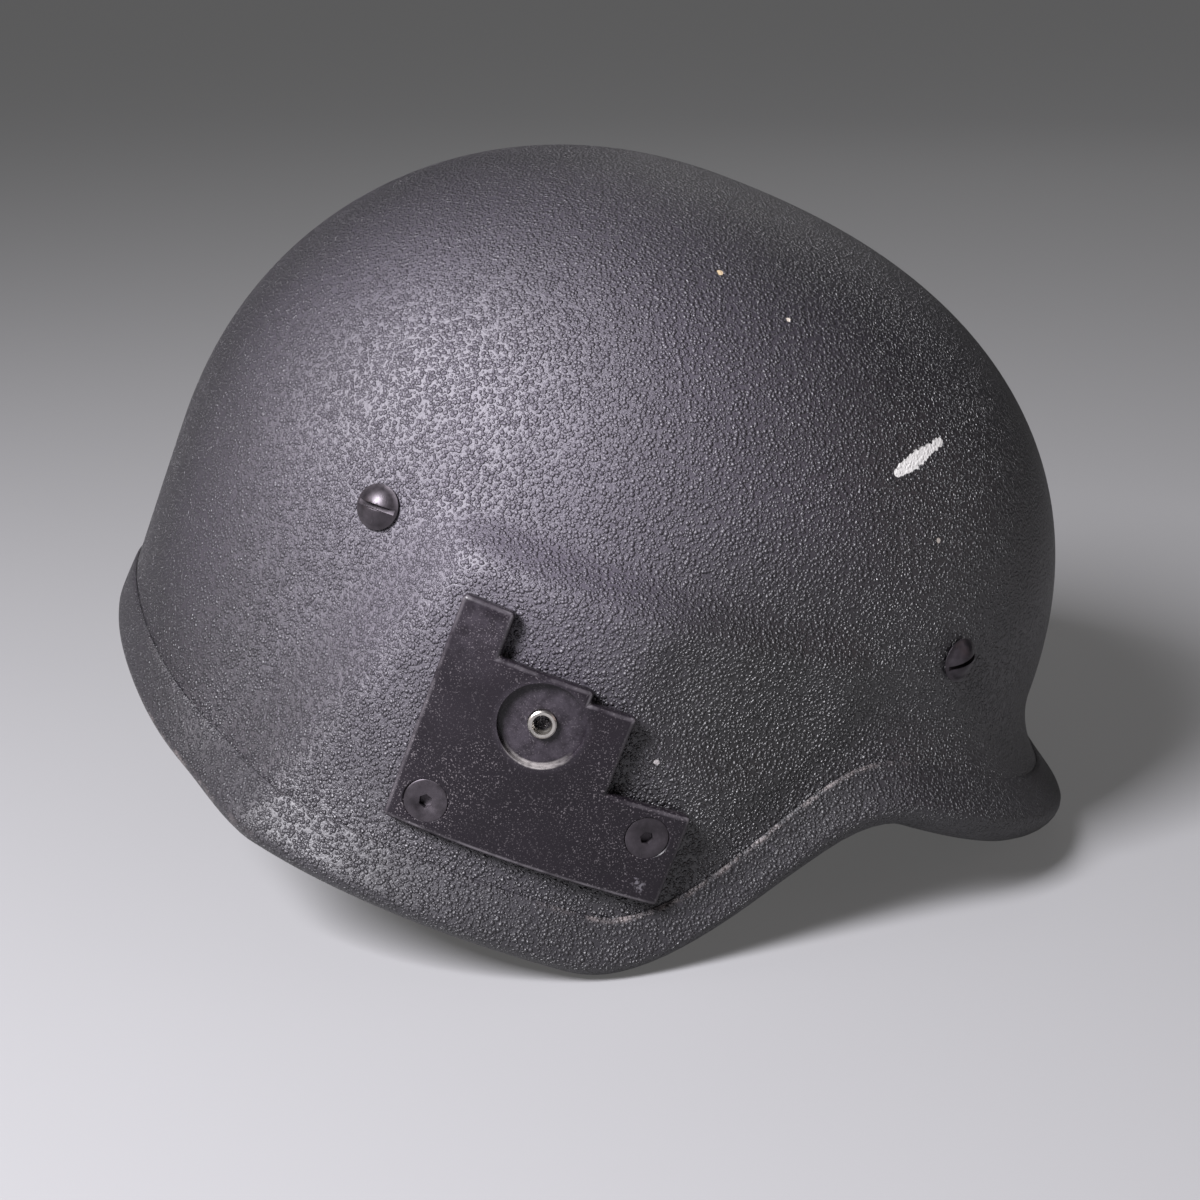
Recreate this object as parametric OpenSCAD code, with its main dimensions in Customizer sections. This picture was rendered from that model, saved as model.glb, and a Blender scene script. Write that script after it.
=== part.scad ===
// Ballistic helmet with side brackets for a visor, a hung headband, foam pads and a chin strap.
// It is drawn as it is worn, x to the front and y to the left, with the origin level with the
// bottom of the ear flaps. The last step tips it nose down on to its brim and its ear flaps.

/* [Shell] */
// Reach of the shell from the origin to the brow
front_reach = 136.5; // [125:0.5:150]
// Reach of the shell from the origin to the nape
rear_reach = 115; // [105:0.5:128]
// Half of the width of the bare dome
half_width = 111.5; // [104:0.5:120]
// Height of the widest level of the dome
waist_z = 71; // [66:0.5:80]
// Height of the crown
crown_z = 184.5; // [170:0.5:200]
// Forward shift of the crown
crown_shift = 3.6; // [0:0.1:8]
// Thickness of the laminate
shell_t = 9; // [7:0.1:11]
// Squareness of the plan
plan_power = 2.04; // [2:0.01:2.4]
// Fullness of the dome at the front
front_power = 2.3; // [2:0.01:2.5]
// Fullness of the dome at the rear
rear_power = 2.12; // [2:0.01:2.5]
// Fullness of the dome at the sides
side_power = 2.27; // [2:0.01:2.5]

/* [Rim] */
// Height of the brim's edge above the bottom of the ear flaps
brim_z = 58.9; // [50:0.1:64]
// Dip of the brim's edge in the middle
brow_drop = 4.3; // [2:0.1:6]
// Rise of the edge at the nape
nape_rise = 15; // [9:0.5:19]
// Angle from the front at which the brim starts to drop
brim_end = 46; // [40:0.5:50]
// Angle from the front at which the ear flap is full
flap_start = 80; // [75:0.5:84]
// Share of that drop that rounds out into the ear flap
flap_round = 0.56; // [0.3:0.01:0.65]
// Share of that drop that rounds in to the brim
brim_round = 0.29; // [0.15:0.01:0.34]
// Angle at which the edge starts to rise to the nape
nape_start = 125; // [110:1:135]
// Outward flare of the brim
brim_flare = 21.2; // [15:0.1:24]
// Height over which the brim flares
brim_h = 27.2; // [24:0.1:30]
// Outward flare of the ear flaps
flap_flare = 4.7; // [1:0.1:8]
// Height over which the ear flaps and the nape flare
flap_h = 30; // [24:1:36]

/* [Ear bulge] */
// Depth of the bulge over each ear
bulge_t = 10.4; // [6:0.1:13]
// Height of the upper edge of the bulge
bulge_top = 93; // [86:0.5:98]
// Rear edge of the bulge
bulge_rear = -60; // [-66:0.5:-54]
// Forward lean of the bulge's rear edge, for each unit of height
bulge_lean = 0.35; // [0:0.01:0.6]
// Front edge of the bulge
bulge_front = 57; // [50:0.5:64]
// Depth of the shallow hollow at the temple
hollow_t = 4.6; // [0:0.1:6]

/* [Edge trim] */
// Width of the trim up the outside of the shell
trim_w = 11.5; // [9:0.1:13]
// Extra width of the trim where the edge drops from the brim
trim_extra = 3; // [0:0.1:4]
// Thickness of the trim
trim_t = 1.3; // [1:0.1:2]
// Depth of the round bead under the edge
bead_h = 3.4; // [2:0.1:5]
// Gap between the trim and the laminate
trim_gap = 0.15; // [0.1:0.01:0.3]

/* [Bracket] */
// Thickness of the bracket plate
plate_t = 4; // [3.4:0.1:5]
// Gap between the plate and the paint
plate_gap = 0.3; // [0.2:0.05:0.5]
// Rear edge of the plate
plate_rear = -33.9; // [-36:0.1:-32]
// Length of the plate
plate_len = 68.6; // [66:0.1:71]
// Bottom edge of the plate
plate_bottom = 21.8; // [20:0.1:24]
// Height of the plate to the top of its arm
arm_h = 58.5; // [55:0.1:60]
// Width of the arm
arm_w = 12.6; // [11:0.1:14]
// Radius of the recess for the visor pivot
recess_r = 10.5; // [9.5:0.1:11]
// Depth of that recess
recess_h = 2.2; // [1.5:0.1:2.8]
// Outer radius of the pivot nut's sleeve
pivot_r = 3.45; // [3:0.05:3.8]
// Core radius of the pivot nut's thread
pivot_core_r = 2.1; // [1.6:0.05:2.2]

/* [Fasteners] */
// Radius of a countersunk head
csk_r = 5.45; // [5:0.05:5.8]
// Radius of the countersunk screw's shank
csk_shank_r = 2.5; // [2:0.05:2.6]
// Radius of a domed head
dome_r = 5.7; // [5:0.1:6.4]
// Height of a domed head
dome_h = 3; // [2.4:0.1:3.4]
// Radius of the domed screw's shank
dome_shank_r = 2; // [1.6:0.05:2.2]
// Outer radius of a nut's sleeve
sleeve_r = 3.4; // [3.2:0.05:3.6]
// Radius of a nut's flange
flange_r = 6.5; // [5.5:0.1:7]

/* [Headband and pads] */
// Distance between the shell and the inside of the headband at the sides
side_clear = 20.5; // [18.5:0.5:24]
// Distance between the shell and the inside of the headband at the brow
brow_clear = 18.5; // [16.5:0.5:24]
// Distance between the shell and the nape yoke
nape_clear = 16.2; // [12:0.1:20]
// Height of the headband
band_h = 32; // [26:0.5:34]
// Height of the headband's lower edge
band_z = 62; // [61:0.5:66]
// Thickness of the headband
band_t = 2; // [1.5:0.1:2.5]
// Thickness of the padded sweatband
sweat_t = 4.5; // [3:0.1:6]
// Travel of the nape yoke
yoke_travel = 15; // [8:1:17]
// Thickness of a foam pad
pad_t = 15; // [12:0.5:18]
// Height of a pad's lower edge above the widest level of the dome
pad_low = 39; // [36:0.5:42]
// Depth of a pad's upper edge below the crown
pad_high = 36; // [33:0.5:40]
// Radius of the round crown pad
crown_pad_r = 42; // [34:1:44]

/* [Chin strap] */
// Width of the webbing
web_w = 19; // [15:0.5:20]
// Thickness of the webbing
web_t = 1.6; // [1.2:0.1:1.8]
// Height of the strap's pivot above the bottom of the ear flaps
swing_z = 33; // [31:0.5:36]
// Radius of the pivot stud
stud_r = 3; // [2.5:0.1:3.2]
// Height of the chin cup
cup_h = 24; // [22:0.5:26]
// Travel of the plug out of the buckle
plug_travel = 22; // [19:1:24]
// Travel of the slider along the strap
slider_travel = 16; // [8:1:20]

/* [Hidden] */

$fn = 48;
eps = 0.01;
seat_gap = 0.2;
run_gap = 0.3;
fit_gap = 0.05;

// Samples around the shell and up its wall
columns = 72;
column_a = 360 / columns;
rim_rows = 3;
skirt_rows = 8;
dome_rows = 14;
top_row = skirt_rows + dome_rows;
last_dome_a = 84;

// Smooth step from 0 to 1, and a straight ramp whose two ends are rounded over shares c and d
function ease(t) = let (u = max(0, min(1, t))) u * u * (3 - 2 * u);
function ramp(t, c, d) = let (u = max(0, min(1, t)), m = 1 / (1 - c / 2 - d / 2))
    u < c ? m * u * u / (2 * c) : u < 1 - d ? m * (u - c / 2) : 1 - m * (1 - u) * (1 - u) / (2 * d);
function unit(v) = v / norm(v);
function turned(a) = a > 180 ? a - 360 : a;

// Plan, dome and the bottom of the edge as functions of the angle from the front
function plan_r(a) = let (reach = cos(a) > 0 ? front_reach : rear_reach)
    pow(pow(abs(cos(a)) / reach, plan_power) + pow(abs(sin(a)) / half_width, plan_power),
        -1 / plan_power);
function dome_power(a) = let (c = cos(a))
    (c > 0 ? front_power : rear_power) * c * c + side_power * (1 - c * c);
function drop_part(a) = ramp((flap_start - abs(turned(a))) / (flap_start - brim_end),
    flap_round, brim_round);
function edge_z(a) = let (b = abs(turned(a)))
    brim_z * drop_part(a) - brow_drop * ease(1 - b / 45)
        + nape_rise * ease((b - nape_start) / (180 - nape_start));

// Flares near the rim
skirt_spread = 2.3;
nape_flare = 0.4;
function brim_part(a) = ease((75 - abs(turned(a))) / 45);
function nape_part(a) = ease((abs(turned(a)) - 110) / 50);
function fade(d, h) = pow(max(0, 1 - max(0, d) / h), 2);
function flare(a, d) = brim_flare * brim_part(a) * fade(d, brim_h)
    + nape_flare * nape_part(a) * fade(d, flap_h)
    + flap_flare * (1 - brim_part(a) - nape_part(a)) * fade(d, flap_h);
function skirt_slope(a) = 2 * (brim_flare * brim_part(a) / brim_h
    + (nape_flare * nape_part(a) + flap_flare * (1 - brim_part(a) - nape_part(a))) / flap_h);
function spread(a, z) = let (c = cos(a), u = max(0, waist_z - z) / 80)
    (c > 0 ? skirt_spread * (1 - c * c) : skirt_spread * (1 - c * c) - 1.3 * c * c) * u * u;

// Bulge over the ear, less the shallow hollow at the temple in front of it
edge_run = 12;
hollow_x = 38;
hollow_z = 76;
hollow_rx = 29;
hollow_rz = 24;
function rear_edge(z) = bulge_rear + bulge_lean * (z - 40);
function bulge(a, x, z) = ease((abs(sin(a)) - 0.3) / 0.3) * (
    bulge_t * ease((bulge_top - z) / edge_run + 0.5) * ease((x - rear_edge(z)) / 22 + 0.5)
        * ease((bulge_front - x) / 55 + 0.5)
    - hollow_t * ease(1 - pow((x - hollow_x) / hollow_rx, 2) - pow((z - hollow_z) / hollow_rz, 2)));

// Point of the outer face at an angle and a height, and the outward normal there
function dome_part(a, z) = z <= waist_z ? 1
    : pow(max(0, 1 - pow((z - waist_z) / (crown_z - waist_z), dome_power(a))), 1 / dome_power(a));
function face(a, z) = let (
    r = plan_r(a) * dome_part(a, z) + spread(a, z) + flare(a, z - edge_z(a)),
    lift = max(0, z - waist_z) / (crown_z - waist_z),
    x = r * cos(a))
    [x + crown_shift * lift * lift, r * sin(a) + sign(sin(a)) * bulge(a, x, z), z];
function normal(a, z) = unit(cross(face(a + 0.2, z) - face(a - 0.2, z),
    face(a, min(z + 0.05, crown_z - eps)) - face(a, z - 0.05)));
function inside(a, z, depth) = face(a, z) - normal(a, z) * depth;

// Rim of the laminate, above the trim's bead, and the rise of the trim's outer leg
function rim_z(a) = edge_z(a) + (bead_h + trim_gap) / norm([1, skirt_slope(a)]);
function band_rise(a) = let (s = drop_part(a))
    (trim_w + 4 * trim_extra * s * (1 - s)) / norm([1, 0.82 * skirt_slope(a)]);

// Height of a row of samples: the trim's rows, the rest of the skirt, then the dome
function row_z(a, j) = let (z0 = rim_z(a), z1 = z0 + band_rise(a))
    j <= rim_rows ? z0 + (z1 - z0) * j / rim_rows
    : j <= skirt_rows ? z1 + (waist_z - z1) * (j - rim_rows) / (skirt_rows - rim_rows)
    : waist_z + (crown_z - waist_z) * sin((j - skirt_rows) * last_dome_a / dome_rows);
function sample(i, j, out) = let (a = i * column_a, z = row_z(a, j)) face(a, z) + normal(a, z) * out;

// Angle on the right side at which the outer face has a given x
function angle_at(x, z, lo = -175, hi = -5, n = 26) = let (m = (lo + hi) / 2)
    n == 0 ? m : face(m, z).x > x ? angle_at(x, z, lo, m, n - 1) : angle_at(x, z, m, hi, n - 1);

// Two triangles of the cell between rows p and q of n points. The left half is cut on the other
// diagonal, so that the two sides mirror each other.
half_turn = columns / 2;
function is_left(i) = (i + columns) % columns < half_turn;
function cell(p, q, k, n, closed = true, other = false) = let (l = closed ? (k + 1) % n : k + 1)
    other ? [[p + k, q + k, p + l], [p + l, q + k, q + l]] : [[p + k, q + l, p + l], [p + k, q + k, q + l]];
function flipped(faces) = [for (f = faces) [f[0], f[2], f[1]]];
function strip(p, q, n) = [for (k = [0 : n - 1], f = cell(p, q, k, n, true, k < n / 2)) f];

// Bottom of the edge: the bead's points at one column, from the outer lip to the inner one
bead_steps = 6;
bead_r = shell_t / 2 + trim_gap + trim_t;
function bead(i, q) = let (a = i * column_a, z = rim_z(a), out = normal(a, z),
    down = -unit(face(a, z + 0.5) - face(a, z)), middle = face(a, z) - out * shell_t / 2)
    middle + out * bead_r * cos(q) + down * (trim_gap + bead_h) * sin(q);

// Stance: nose down, with the brim and both ear flaps on the ground
bead_points = [for (i = [0 : half_turn], k = [0 : bead_steps]) bead(i, k * 180 / bead_steps)];
brim_points = [for (k = [0 : bead_steps]) bead(0, k * 180 / bead_steps)];
function low_of(points, a) = min([for (p = points) p.z * cos(a) - p.x * sin(a)]);
function lowest(points, a) = let (low = low_of(points, a))
    [for (p = points) if (p.z * cos(a) - p.x * sin(a) < low + eps) p][0];
function lean(f) = atan(max([for (p = bead_points) if (p.x < f.x - 60) (f.z - p.z) / (f.x - p.x)]));
nose_down = lean(lowest(brim_points, lean(brim_points[bead_steps / 2])));
ground = -low_of(bead_points, nose_down);
ends = [for (i = [0 : half_turn], j = [0 : top_row]) let (p = sample(i, j, 0))
    p.x * cos(nose_down) + p.z * sin(nose_down)];
bead_ends = [for (p = bead_points) p.x * cos(nose_down) + p.z * sin(nose_down)];
trim_ends = [for (i = [0 : half_turn], j = [0 : rim_rows]) let (p = sample(i, j, trim_gap + trim_t))
    p.x * cos(nose_down) + p.z * sin(nose_down)];
centre_x = (min(concat(ends, bead_ends, trim_ends)) + max(concat(ends, bead_ends, trim_ends))) / 2;
function stood(p) = [p.x * cos(nose_down) + p.z * sin(nose_down) - centre_x, p.y,
    p.z * cos(nose_down) - p.x * sin(nose_down) + ground];

module stand() {
    translate([-centre_x, 0, ground])
        rotate([0, nose_down, 0])
            children();
}

// Both sides, or the left one, of something drawn on the right
module on_left() {
    mirror([0, 1, 0])
        children();
}
module on_both() {
    children();
    on_left()
        children();
}

// Puts its children on the outer face at an angle and a height, z outward and y up the wall
module on_face(a, z) {
    p = face(a, z);
    w = normal(a, z);
    u = unit(cross([0, 0, 1], w));
    v = cross(w, u);
    multmatrix([[u.x, v.x, w.x, p.x], [u.y, v.y, w.y, p.y], [u.z, v.z, w.z, p.z], [0, 0, 0, 1]])
        children();
}

// Closed sheet that follows the wall between two offsets, over columns i0 to i1 and rows j0 to j1
module wall_patch(i0, i1, j0, j1, out0, out1) {
    n = i1 - i0 + 1;
    m = j1 - j0 + 1;
    total = n * m;
    points = [for (o = [out0, out1], j = [j0 : j1], i = [i0 : i1]) sample(i, j, o)];
    rows = [for (j = [0 : m - 2], k = [0 : n - 2])
        each cell(j * n, (j + 1) * n, k, n, false, is_left(i0 + k))];
    low = [for (k = [0 : n - 2], f = cell(0, total, k, n, false)) f];
    high = [for (k = [0 : n - 2], f = cell(total - n, 2 * total - n, k, n, false)) f];
    left = [for (j = [0 : m - 2]) each [[j * n, (j + 1) * n, total + (j + 1) * n],
        [j * n, total + (j + 1) * n, total + j * n]]];
    right = [for (j = [0 : m - 2]) each [[(j + 1) * n - 1, total + (j + 2) * n - 1, (j + 2) * n - 1],
        [(j + 1) * n - 1, total + (j + 1) * n - 1, total + (j + 2) * n - 1]]];
    outer = [for (f = rows) f + [total, total, total]];
    polyhedron(points, concat(flipped(rows), outer, flipped(high), low, left, right));
}

// Polygon with every corner rounded by the same radius
function corner(p, q, s, r) = let (u = unit(p - q), v = unit(s - q), half = acos(u * v) / 2,
    mid = q + unit(u + v) * r / sin(half),
    from = q + u * r / tan(half) - mid,
    to = q + v * r / tan(half) - mid)
    [for (t = [0 : 0.25 : 1]) mid + unit(from * (1 - t) + to * t) * r];
function rounded(points, r) = let (n = len(points))
    [for (k = [0 : n - 1]) each corner(points[(k + n - 1) % n], points[k], points[(k + 1) % n], r)];

// Places of the fasteners, as [x, z] on the right side
pivot_at = [-6.8, 57.2];
bracket_holes = [[-25.6, 29.3], [26.2, 38.4]];
rear_liner = [-122, 87];
front_liner = [-40.4, 96];
liner_holes = [rear_liner, front_liner];
hole_gap = 0.1;
hole_r = sleeve_r + hole_gap;
pivot_hole_r = pivot_r + hole_gap;
liner_sleeve_r = dome_shank_r + 1.6;
liner_hole_r = liner_sleeve_r + hole_gap;

module at_bracket_hole(k) {
    on_face(angle_at(bracket_holes[k].x, bracket_holes[k].y), bracket_holes[k].y)
        children();
}
module at_pivot() {
    on_face(angle_at(pivot_at.x, pivot_at.y), pivot_at.y)
        children();
}
module at_liner_hole(k) {
    on_face(liner_holes[k].x, liner_holes[k].y)
        children();
}

// Laminate shell with its clearance holes, each with twelve flats around the round sleeve
hole_sides = 12;
module wall_hole(r) {
    translate([0, 0, -shell_t - 5])
        cylinder(h = shell_t + 10, r = r / cos(180 / hole_sides), $fn = hole_sides);
}
module shell_skin() {
    rings = top_row + 1;
    n = columns;
    outer = [for (j = [0 : top_row], i = [0 : n - 1]) sample(i, j, 0)];
    inner = [for (j = [0 : top_row], i = [0 : n - 1]) sample(i, j, -shell_t)];
    crown = [[crown_shift, 0, crown_z], [crown_shift, 0, crown_z - shell_t]];
    inner0 = rings * n;
    top_o = (rings - 1) * n;
    top_i = inner0 + top_o;
    pole = 2 * rings * n;
    faces = concat(
        [for (j = [0 : top_row - 1], f = strip(j * n, (j + 1) * n, n)) f],
        flipped([for (j = [0 : top_row - 1], f = strip(inner0 + j * n, inner0 + (j + 1) * n, n)) f]),
        flipped(strip(0, inner0, n)),
        [for (k = [0 : n - 1]) [top_o + k, pole, top_o + (k + 1) % n]],
        [for (k = [0 : n - 1]) [top_i + k, top_i + (k + 1) % n, pole + 1]]);
    polyhedron(concat(outer, inner, crown), faces);
}
module shell() {
    color("#2f2b30")
        stand()
            difference() {
                shell_skin();
                on_both() {
                    for (k = [0, 1]) {
                        at_bracket_hole(k)
                            wall_hole(hole_r);
                        at_liner_hole(k)
                            wall_hole(liner_hole_r);
                    }
                    at_pivot()
                        wall_hole(pivot_hole_r);
                }
            }
}

// Channel trim around the edge: one closed profile swept over the same samples as the shell
inner_rows = 2;
module edge_trim() {
    far = trim_gap + trim_t;
    profiles = [for (i = [0 : columns - 1]) let (a = i * column_a, z = rim_z(a),
        under = -trim_gap * unit(face(a, z + 0.5) - face(a, z))) concat(
        [for (j = [rim_rows : -1 : 1]) sample(i, j, far)],
        [for (k = [0 : bead_steps]) bead(i, k * 180 / bead_steps)],
        [for (j = [1 : inner_rows]) sample(i, j, -shell_t - far)],
        [for (j = [inner_rows : -1 : 0]) sample(i, j, -shell_t - trim_gap) + (j == 0 ? 1 : 0) * under],
        [for (j = [0 : rim_rows]) sample(i, j, trim_gap) + (j == 0 ? 1 : 0) * under])];
    n = len(profiles[0]);
    // The faces beside the laminate are cut on the laminate's own diagonals
    rising = n - rim_rows - 1;
    faces = [for (i = [0 : columns - 1], k = [0 : n - 1]) let (p = i * n, q = ((i + 1) % columns) * n,
        l = (k + 1) % n) each is_left(i) == (k >= rising)
            ? [[p + k, q + k, p + l], [q + k, q + l, p + l]]
            : [[p + k, q + k, q + l], [p + k, q + l, p + l]]];
    color("#262328")
        stand()
            polyhedron([for (p = profiles) each p], faces);
}

// Stepped bracket plate, curved to the wall
plate_top = plate_bottom + arm_h;
plate_front = plate_rear + plate_len;
arm_drop = 11.2;
mid_len = 35.9;
step_drop = 3;
step_len = 11.4;
toe_drop = 34.2;
mid_top = plate_top - arm_drop;
mid_front = plate_rear + mid_len;
step_top = mid_top - step_drop;
step_front = mid_front + step_len;
toe_top = plate_top - toe_drop;
plate_outline = [[plate_rear, plate_bottom], [plate_rear, plate_top], [plate_rear + arm_w, plate_top],
    [plate_rear + arm_w, mid_top], [mid_front, mid_top], [mid_front, step_top], [step_front, step_top],
    [step_front, toe_top], [plate_front, toe_top], [plate_front, plate_bottom]];
plate_out = plate_gap + plate_t;
module outline_block(points, r, y0, y1) {
    translate([0, y1, 0])
        rotate([90, 0, 0])
            linear_extrude(height = y1 - y0)
                polygon(rounded(points, r));
}
module bracket_plate() {
    difference() {
        intersection() {
            wall_patch(49, 59, rim_rows, skirt_rows + 2, plate_gap, plate_out);
            outline_block(plate_outline, 1.2, -half_width - 30, -half_width + 30);
        }
        at_pivot() {
            translate([0, 0, plate_out - recess_h])
                cylinder(h = recess_h + 5, r = recess_r);
            translate([0, 0, -2])
                cylinder(h = plate_out + 4, r = pivot_hole_r);
        }
        for (k = [0, 1])
            at_bracket_hole(k) {
                translate([0, 0, -2])
                    cylinder(h = plate_out + 4, r = csk_shank_r + 0.3);
                translate([0, 0, plate_out - csk_h])
                    cylinder(h = csk_h, r1 = csk_shank_r + 0.3, r2 = csk_r + 0.15);
                translate([0, 0, plate_out - eps])
                    cylinder(h = 3, r = csk_r + 0.15);
            }
    }
}
module bracket_right() {
    color("#242126")
        stand()
            bracket_plate();
}
module bracket_left() {
    color("#242126")
        stand()
            on_left()
                bracket_plate();
}

// Nut that carries the visor's pivot screw: a flange inside, a threaded sleeve out to the recess
pivot_seat = 0.5;
pivot_rise = 1.6;
module pivot_nut() {
    sleeve_top = plate_out - recess_h + pivot_rise;
    base = -shell_t - pivot_seat;
    at_pivot()
        difference() {
            union() {
                translate([0, 0, base - 1.4])
                    cylinder(h = 1.4, r = flange_r + 1.5);
                translate([0, 0, base - eps])
                    cylinder(h = sleeve_top - base + eps, r = pivot_r);
            }
            translate([0, 0, base - 2])
                cylinder(h = sleeve_top - base + 3, r = pivot_core_r);
        }
}
module pivot_nut_right() {
    color("#b9b4ae")
        stand()
            pivot_nut();
}
module pivot_nut_left() {
    color("#b9b4ae")
        stand()
            on_left()
                pivot_nut();
}

// Countersunk screws that hold the bracket, each with a hexagon socket
csk_h = 2.7;
key_r = 1.73;
module bracket_screw() {
    difference() {
        union() {
            translate([0, 0, plate_out - csk_h - 0.1])
                cylinder(h = csk_h, r1 = csk_shank_r, r2 = csk_r);
            translate([0, 0, -shell_t + 1])
                cylinder(h = plate_out - csk_h + shell_t - 1, r = csk_shank_r);
        }
        translate([0, 0, plate_out - 2])
            cylinder(h = 3, r = key_r, $fn = 6);
    }
}
module bracket_screws() {
    for (k = [0, 1])
        at_bracket_hole(k)
            bracket_screw();
}
module bracket_screws_right() {
    color("#3a3638")
        stand()
            bracket_screws();
}
module bracket_screws_left() {
    color("#3a3638")
        stand()
            on_left()
                bracket_screws();
}

// Flanged sleeve nuts inside the shell, over the strap anchors
anchor_t = 1.5;
module sleeve_nut(length, outer_r, bore_r, under) {
    difference() {
        union() {
            translate([0, 0, -shell_t - under - 1.3])
                cylinder(h = 1.3, r = flange_r);
            translate([0, 0, -shell_t - under - eps])
                cylinder(h = length, r = outer_r);
        }
        translate([0, 0, -shell_t - under - 2])
            cylinder(h = length + 4, r = bore_r);
    }
}
module bracket_nuts() {
    color("#8f8b86")
        stand()
            on_both()
                for (k = [0, 1])
                    at_bracket_hole(k)
                        sleeve_nut(9, sleeve_r, csk_shank_r + fit_gap, anchor_t + 3 * seat_gap);
}

// Slotted domed screws that hang the headband
slot_w = 1.6;
slot_h = 1.4;
module domed_head() {
    ball_r = (dome_r * dome_r + dome_h * dome_h) / (2 * dome_h);
    intersection() {
        translate([0, 0, dome_h - ball_r])
            sphere(r = ball_r, $fn = 64);
        cylinder(h = dome_h + 1, r = dome_r);
    }
}
slot_turns = [6, 32];
module liner_screws() {
    color("#4a4648")
        stand()
            on_both()
                for (k = [0, 1])
                    at_liner_hole(k)
                        difference() {
                            union() {
                                translate([0, 0, seat_gap])
                                    domed_head();
                                translate([0, 0, -shell_t + 1])
                                    cylinder(h = shell_t, r = dome_shank_r);
                            }
                            rotate([0, 0, slot_turns[k]])
                                translate([-dome_r - 1, -slot_w / 2, seat_gap + dome_h - slot_h])
                                    cube([2 * dome_r + 2, slot_w, slot_h + 1]);
                        }
}
hanger_t = 1.2;
hanger_gap = 1.1;
module liner_nuts() {
    under = hanger_gap + hanger_t + seat_gap;
    color("#8f8b86")
        stand()
            on_both()
                for (k = [0, 1])
                    at_liner_hole(k)
                        sleeve_nut(8.5, liner_sleeve_r, dome_shank_r + fit_gap, under);
}

// Plan of the headband: half an ellipse in front, straight tails behind
band_x = 5;
band_half = half_width - shell_t - side_clear;
band_front = front_reach - shell_t - band_x - brow_clear;
tail_end = -46;
function band_at(t, r) = [band_x + (band_front + r) * cos(t), (band_half + r) * sin(t)];
function band_path(r, a0, a1, step = 6) = [for (t = [a0 : step : a1]) band_at(t, r)];
// Nearest point on the outside of the band to a point of the plan
function foot_t(w) = let (far = [for (t = [-90 : 1 : 90]) norm(band_at(t, band_t) - w)])
    search(min(far), far)[0] - 90;

module headband() {
    outline = concat([[tail_end, -band_half - band_t]], band_path(band_t, -90, 90),
        [[tail_end, band_half + band_t], [tail_end, band_half]],
        [for (p = band_path(0, -90, 90)) [p.x, -p.y]], [[tail_end, -band_half]]);
    color("#1f1e22")
        stand() {
            translate([0, 0, band_z])
                linear_extrude(height = band_h)
                    polygon(outline);
            on_both()
                for (x = [tail_end + 18, tail_end + 32])
                    translate([x, -band_half, band_z])
                        band_loop();
        }
}

// Flat loop on each tail that guides an arm of the nape yoke
loop_w = 6;
arm_t = 1.8;
arm_z = 5;
arm_wide = band_h - 2 * arm_z;
module band_loop() {
    reach = arm_t + 2 * run_gap;
    for (z = [0, band_h - arm_z + run_gap])
        translate([0, -eps, z])
            cube([loop_w, reach + eps, arm_z - run_gap]);
    translate([0, reach - eps, 0])
        cube([loop_w, 1.2, band_h]);
}

// Steel hangers: a plate on the wall under each liner screw, an arm and a foot on the headband
hanger_w = 13;
hanger_side = 9;
hanger_h = 12;
foot_len = 12;
module bar(p, q) {
    hull() {
        translate(p)
            circle(d = hanger_t, $fn = 16);
        translate(q)
            circle(d = hanger_t, $fn = 16);
    }
}
module liner_hanger(k) {
    a = liner_holes[k].x;
    z = liner_holes[k].y;
    w = normal(a, z);
    u = unit(cross([0, 0, 1], w));
    start = inside(a, z, shell_t + hanger_gap + hanger_t / 2) + u * hanger_side - cross(w, u) * 8;
    t = foot_t([start.x, start.y]);
    out = band_t + seat_gap + hanger_t / 2;
    foot = k == 0 ? [tail_end + 4, -band_half - out] : band_at(t, out);
    along = k == 0 ? [1, 0] : unit(band_at(t + 1, out) - foot);
    difference() {
        union() {
            at_liner_hole(k)
                translate([-hanger_w / 2, -13.5, -shell_t - hanger_gap - hanger_t])
                    cube([hanger_w / 2 + hanger_side + hanger_t / 2, 20, hanger_t]);
            translate([0, 0, z - 2 - hanger_h])
                linear_extrude(height = hanger_h) {
                    bar([start.x, start.y], foot);
                    bar(foot, foot + along * foot_len);
                }
        }
        at_liner_hole(k)
            translate([0, 0, -shell_t - 6])
                cylinder(h = 10, r = liner_sleeve_r + 0.2);
    }
}
module liner_hangers() {
    color("#55525a")
        stand()
            on_both()
                for (k = [0, 1])
                    liner_hanger(k);
}

// Padded leather sweatband on the inside of the headband
sweat_span = 84;
sweat_steps = 28;
module sweatband() {
    // Across the strip: the flat back, then the crowned face that meets the brow
    crown = [for (t = [0 : 0.125 : 1]) [0.6 + (sweat_t - 0.6) * pow(sin(180 * t), 0.6), t * (band_h + 4)]];
    profile = concat([[0, band_h + 4], [0, 0]], crown);
    n = len(profile);
    rings = [for (s = [0 : sweat_steps]) let (t = -sweat_span + 2 * sweat_span * s / sweat_steps,
        end = sqrt(max(0, 1 - pow(abs(2 * s / sweat_steps - 1), 12))))
        [for (p = profile) let (q = band_at(t, -seat_gap - p.x * (0.4 + 0.6 * end)))
            [q.x, q.y, band_z - 2 + p.y]]];
    sides = [for (s = [0 : sweat_steps - 1], k = [0 : n - 1]) let (p = s * n, q = p + n, l = (k + 1) % n)
        each [[p + k, q + k, q + l], [p + k, q + l, p + l]]];
    near = [for (k = [1 : n - 2]) [0, k, k + 1]];
    last = sweat_steps * n;
    color("#4b2f20")
        stand()
            polyhedron([for (r = rings) each r],
                concat(sides, near, [for (k = [1 : n - 2]) [last, last + k + 1, last + k]]));
}

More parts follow.
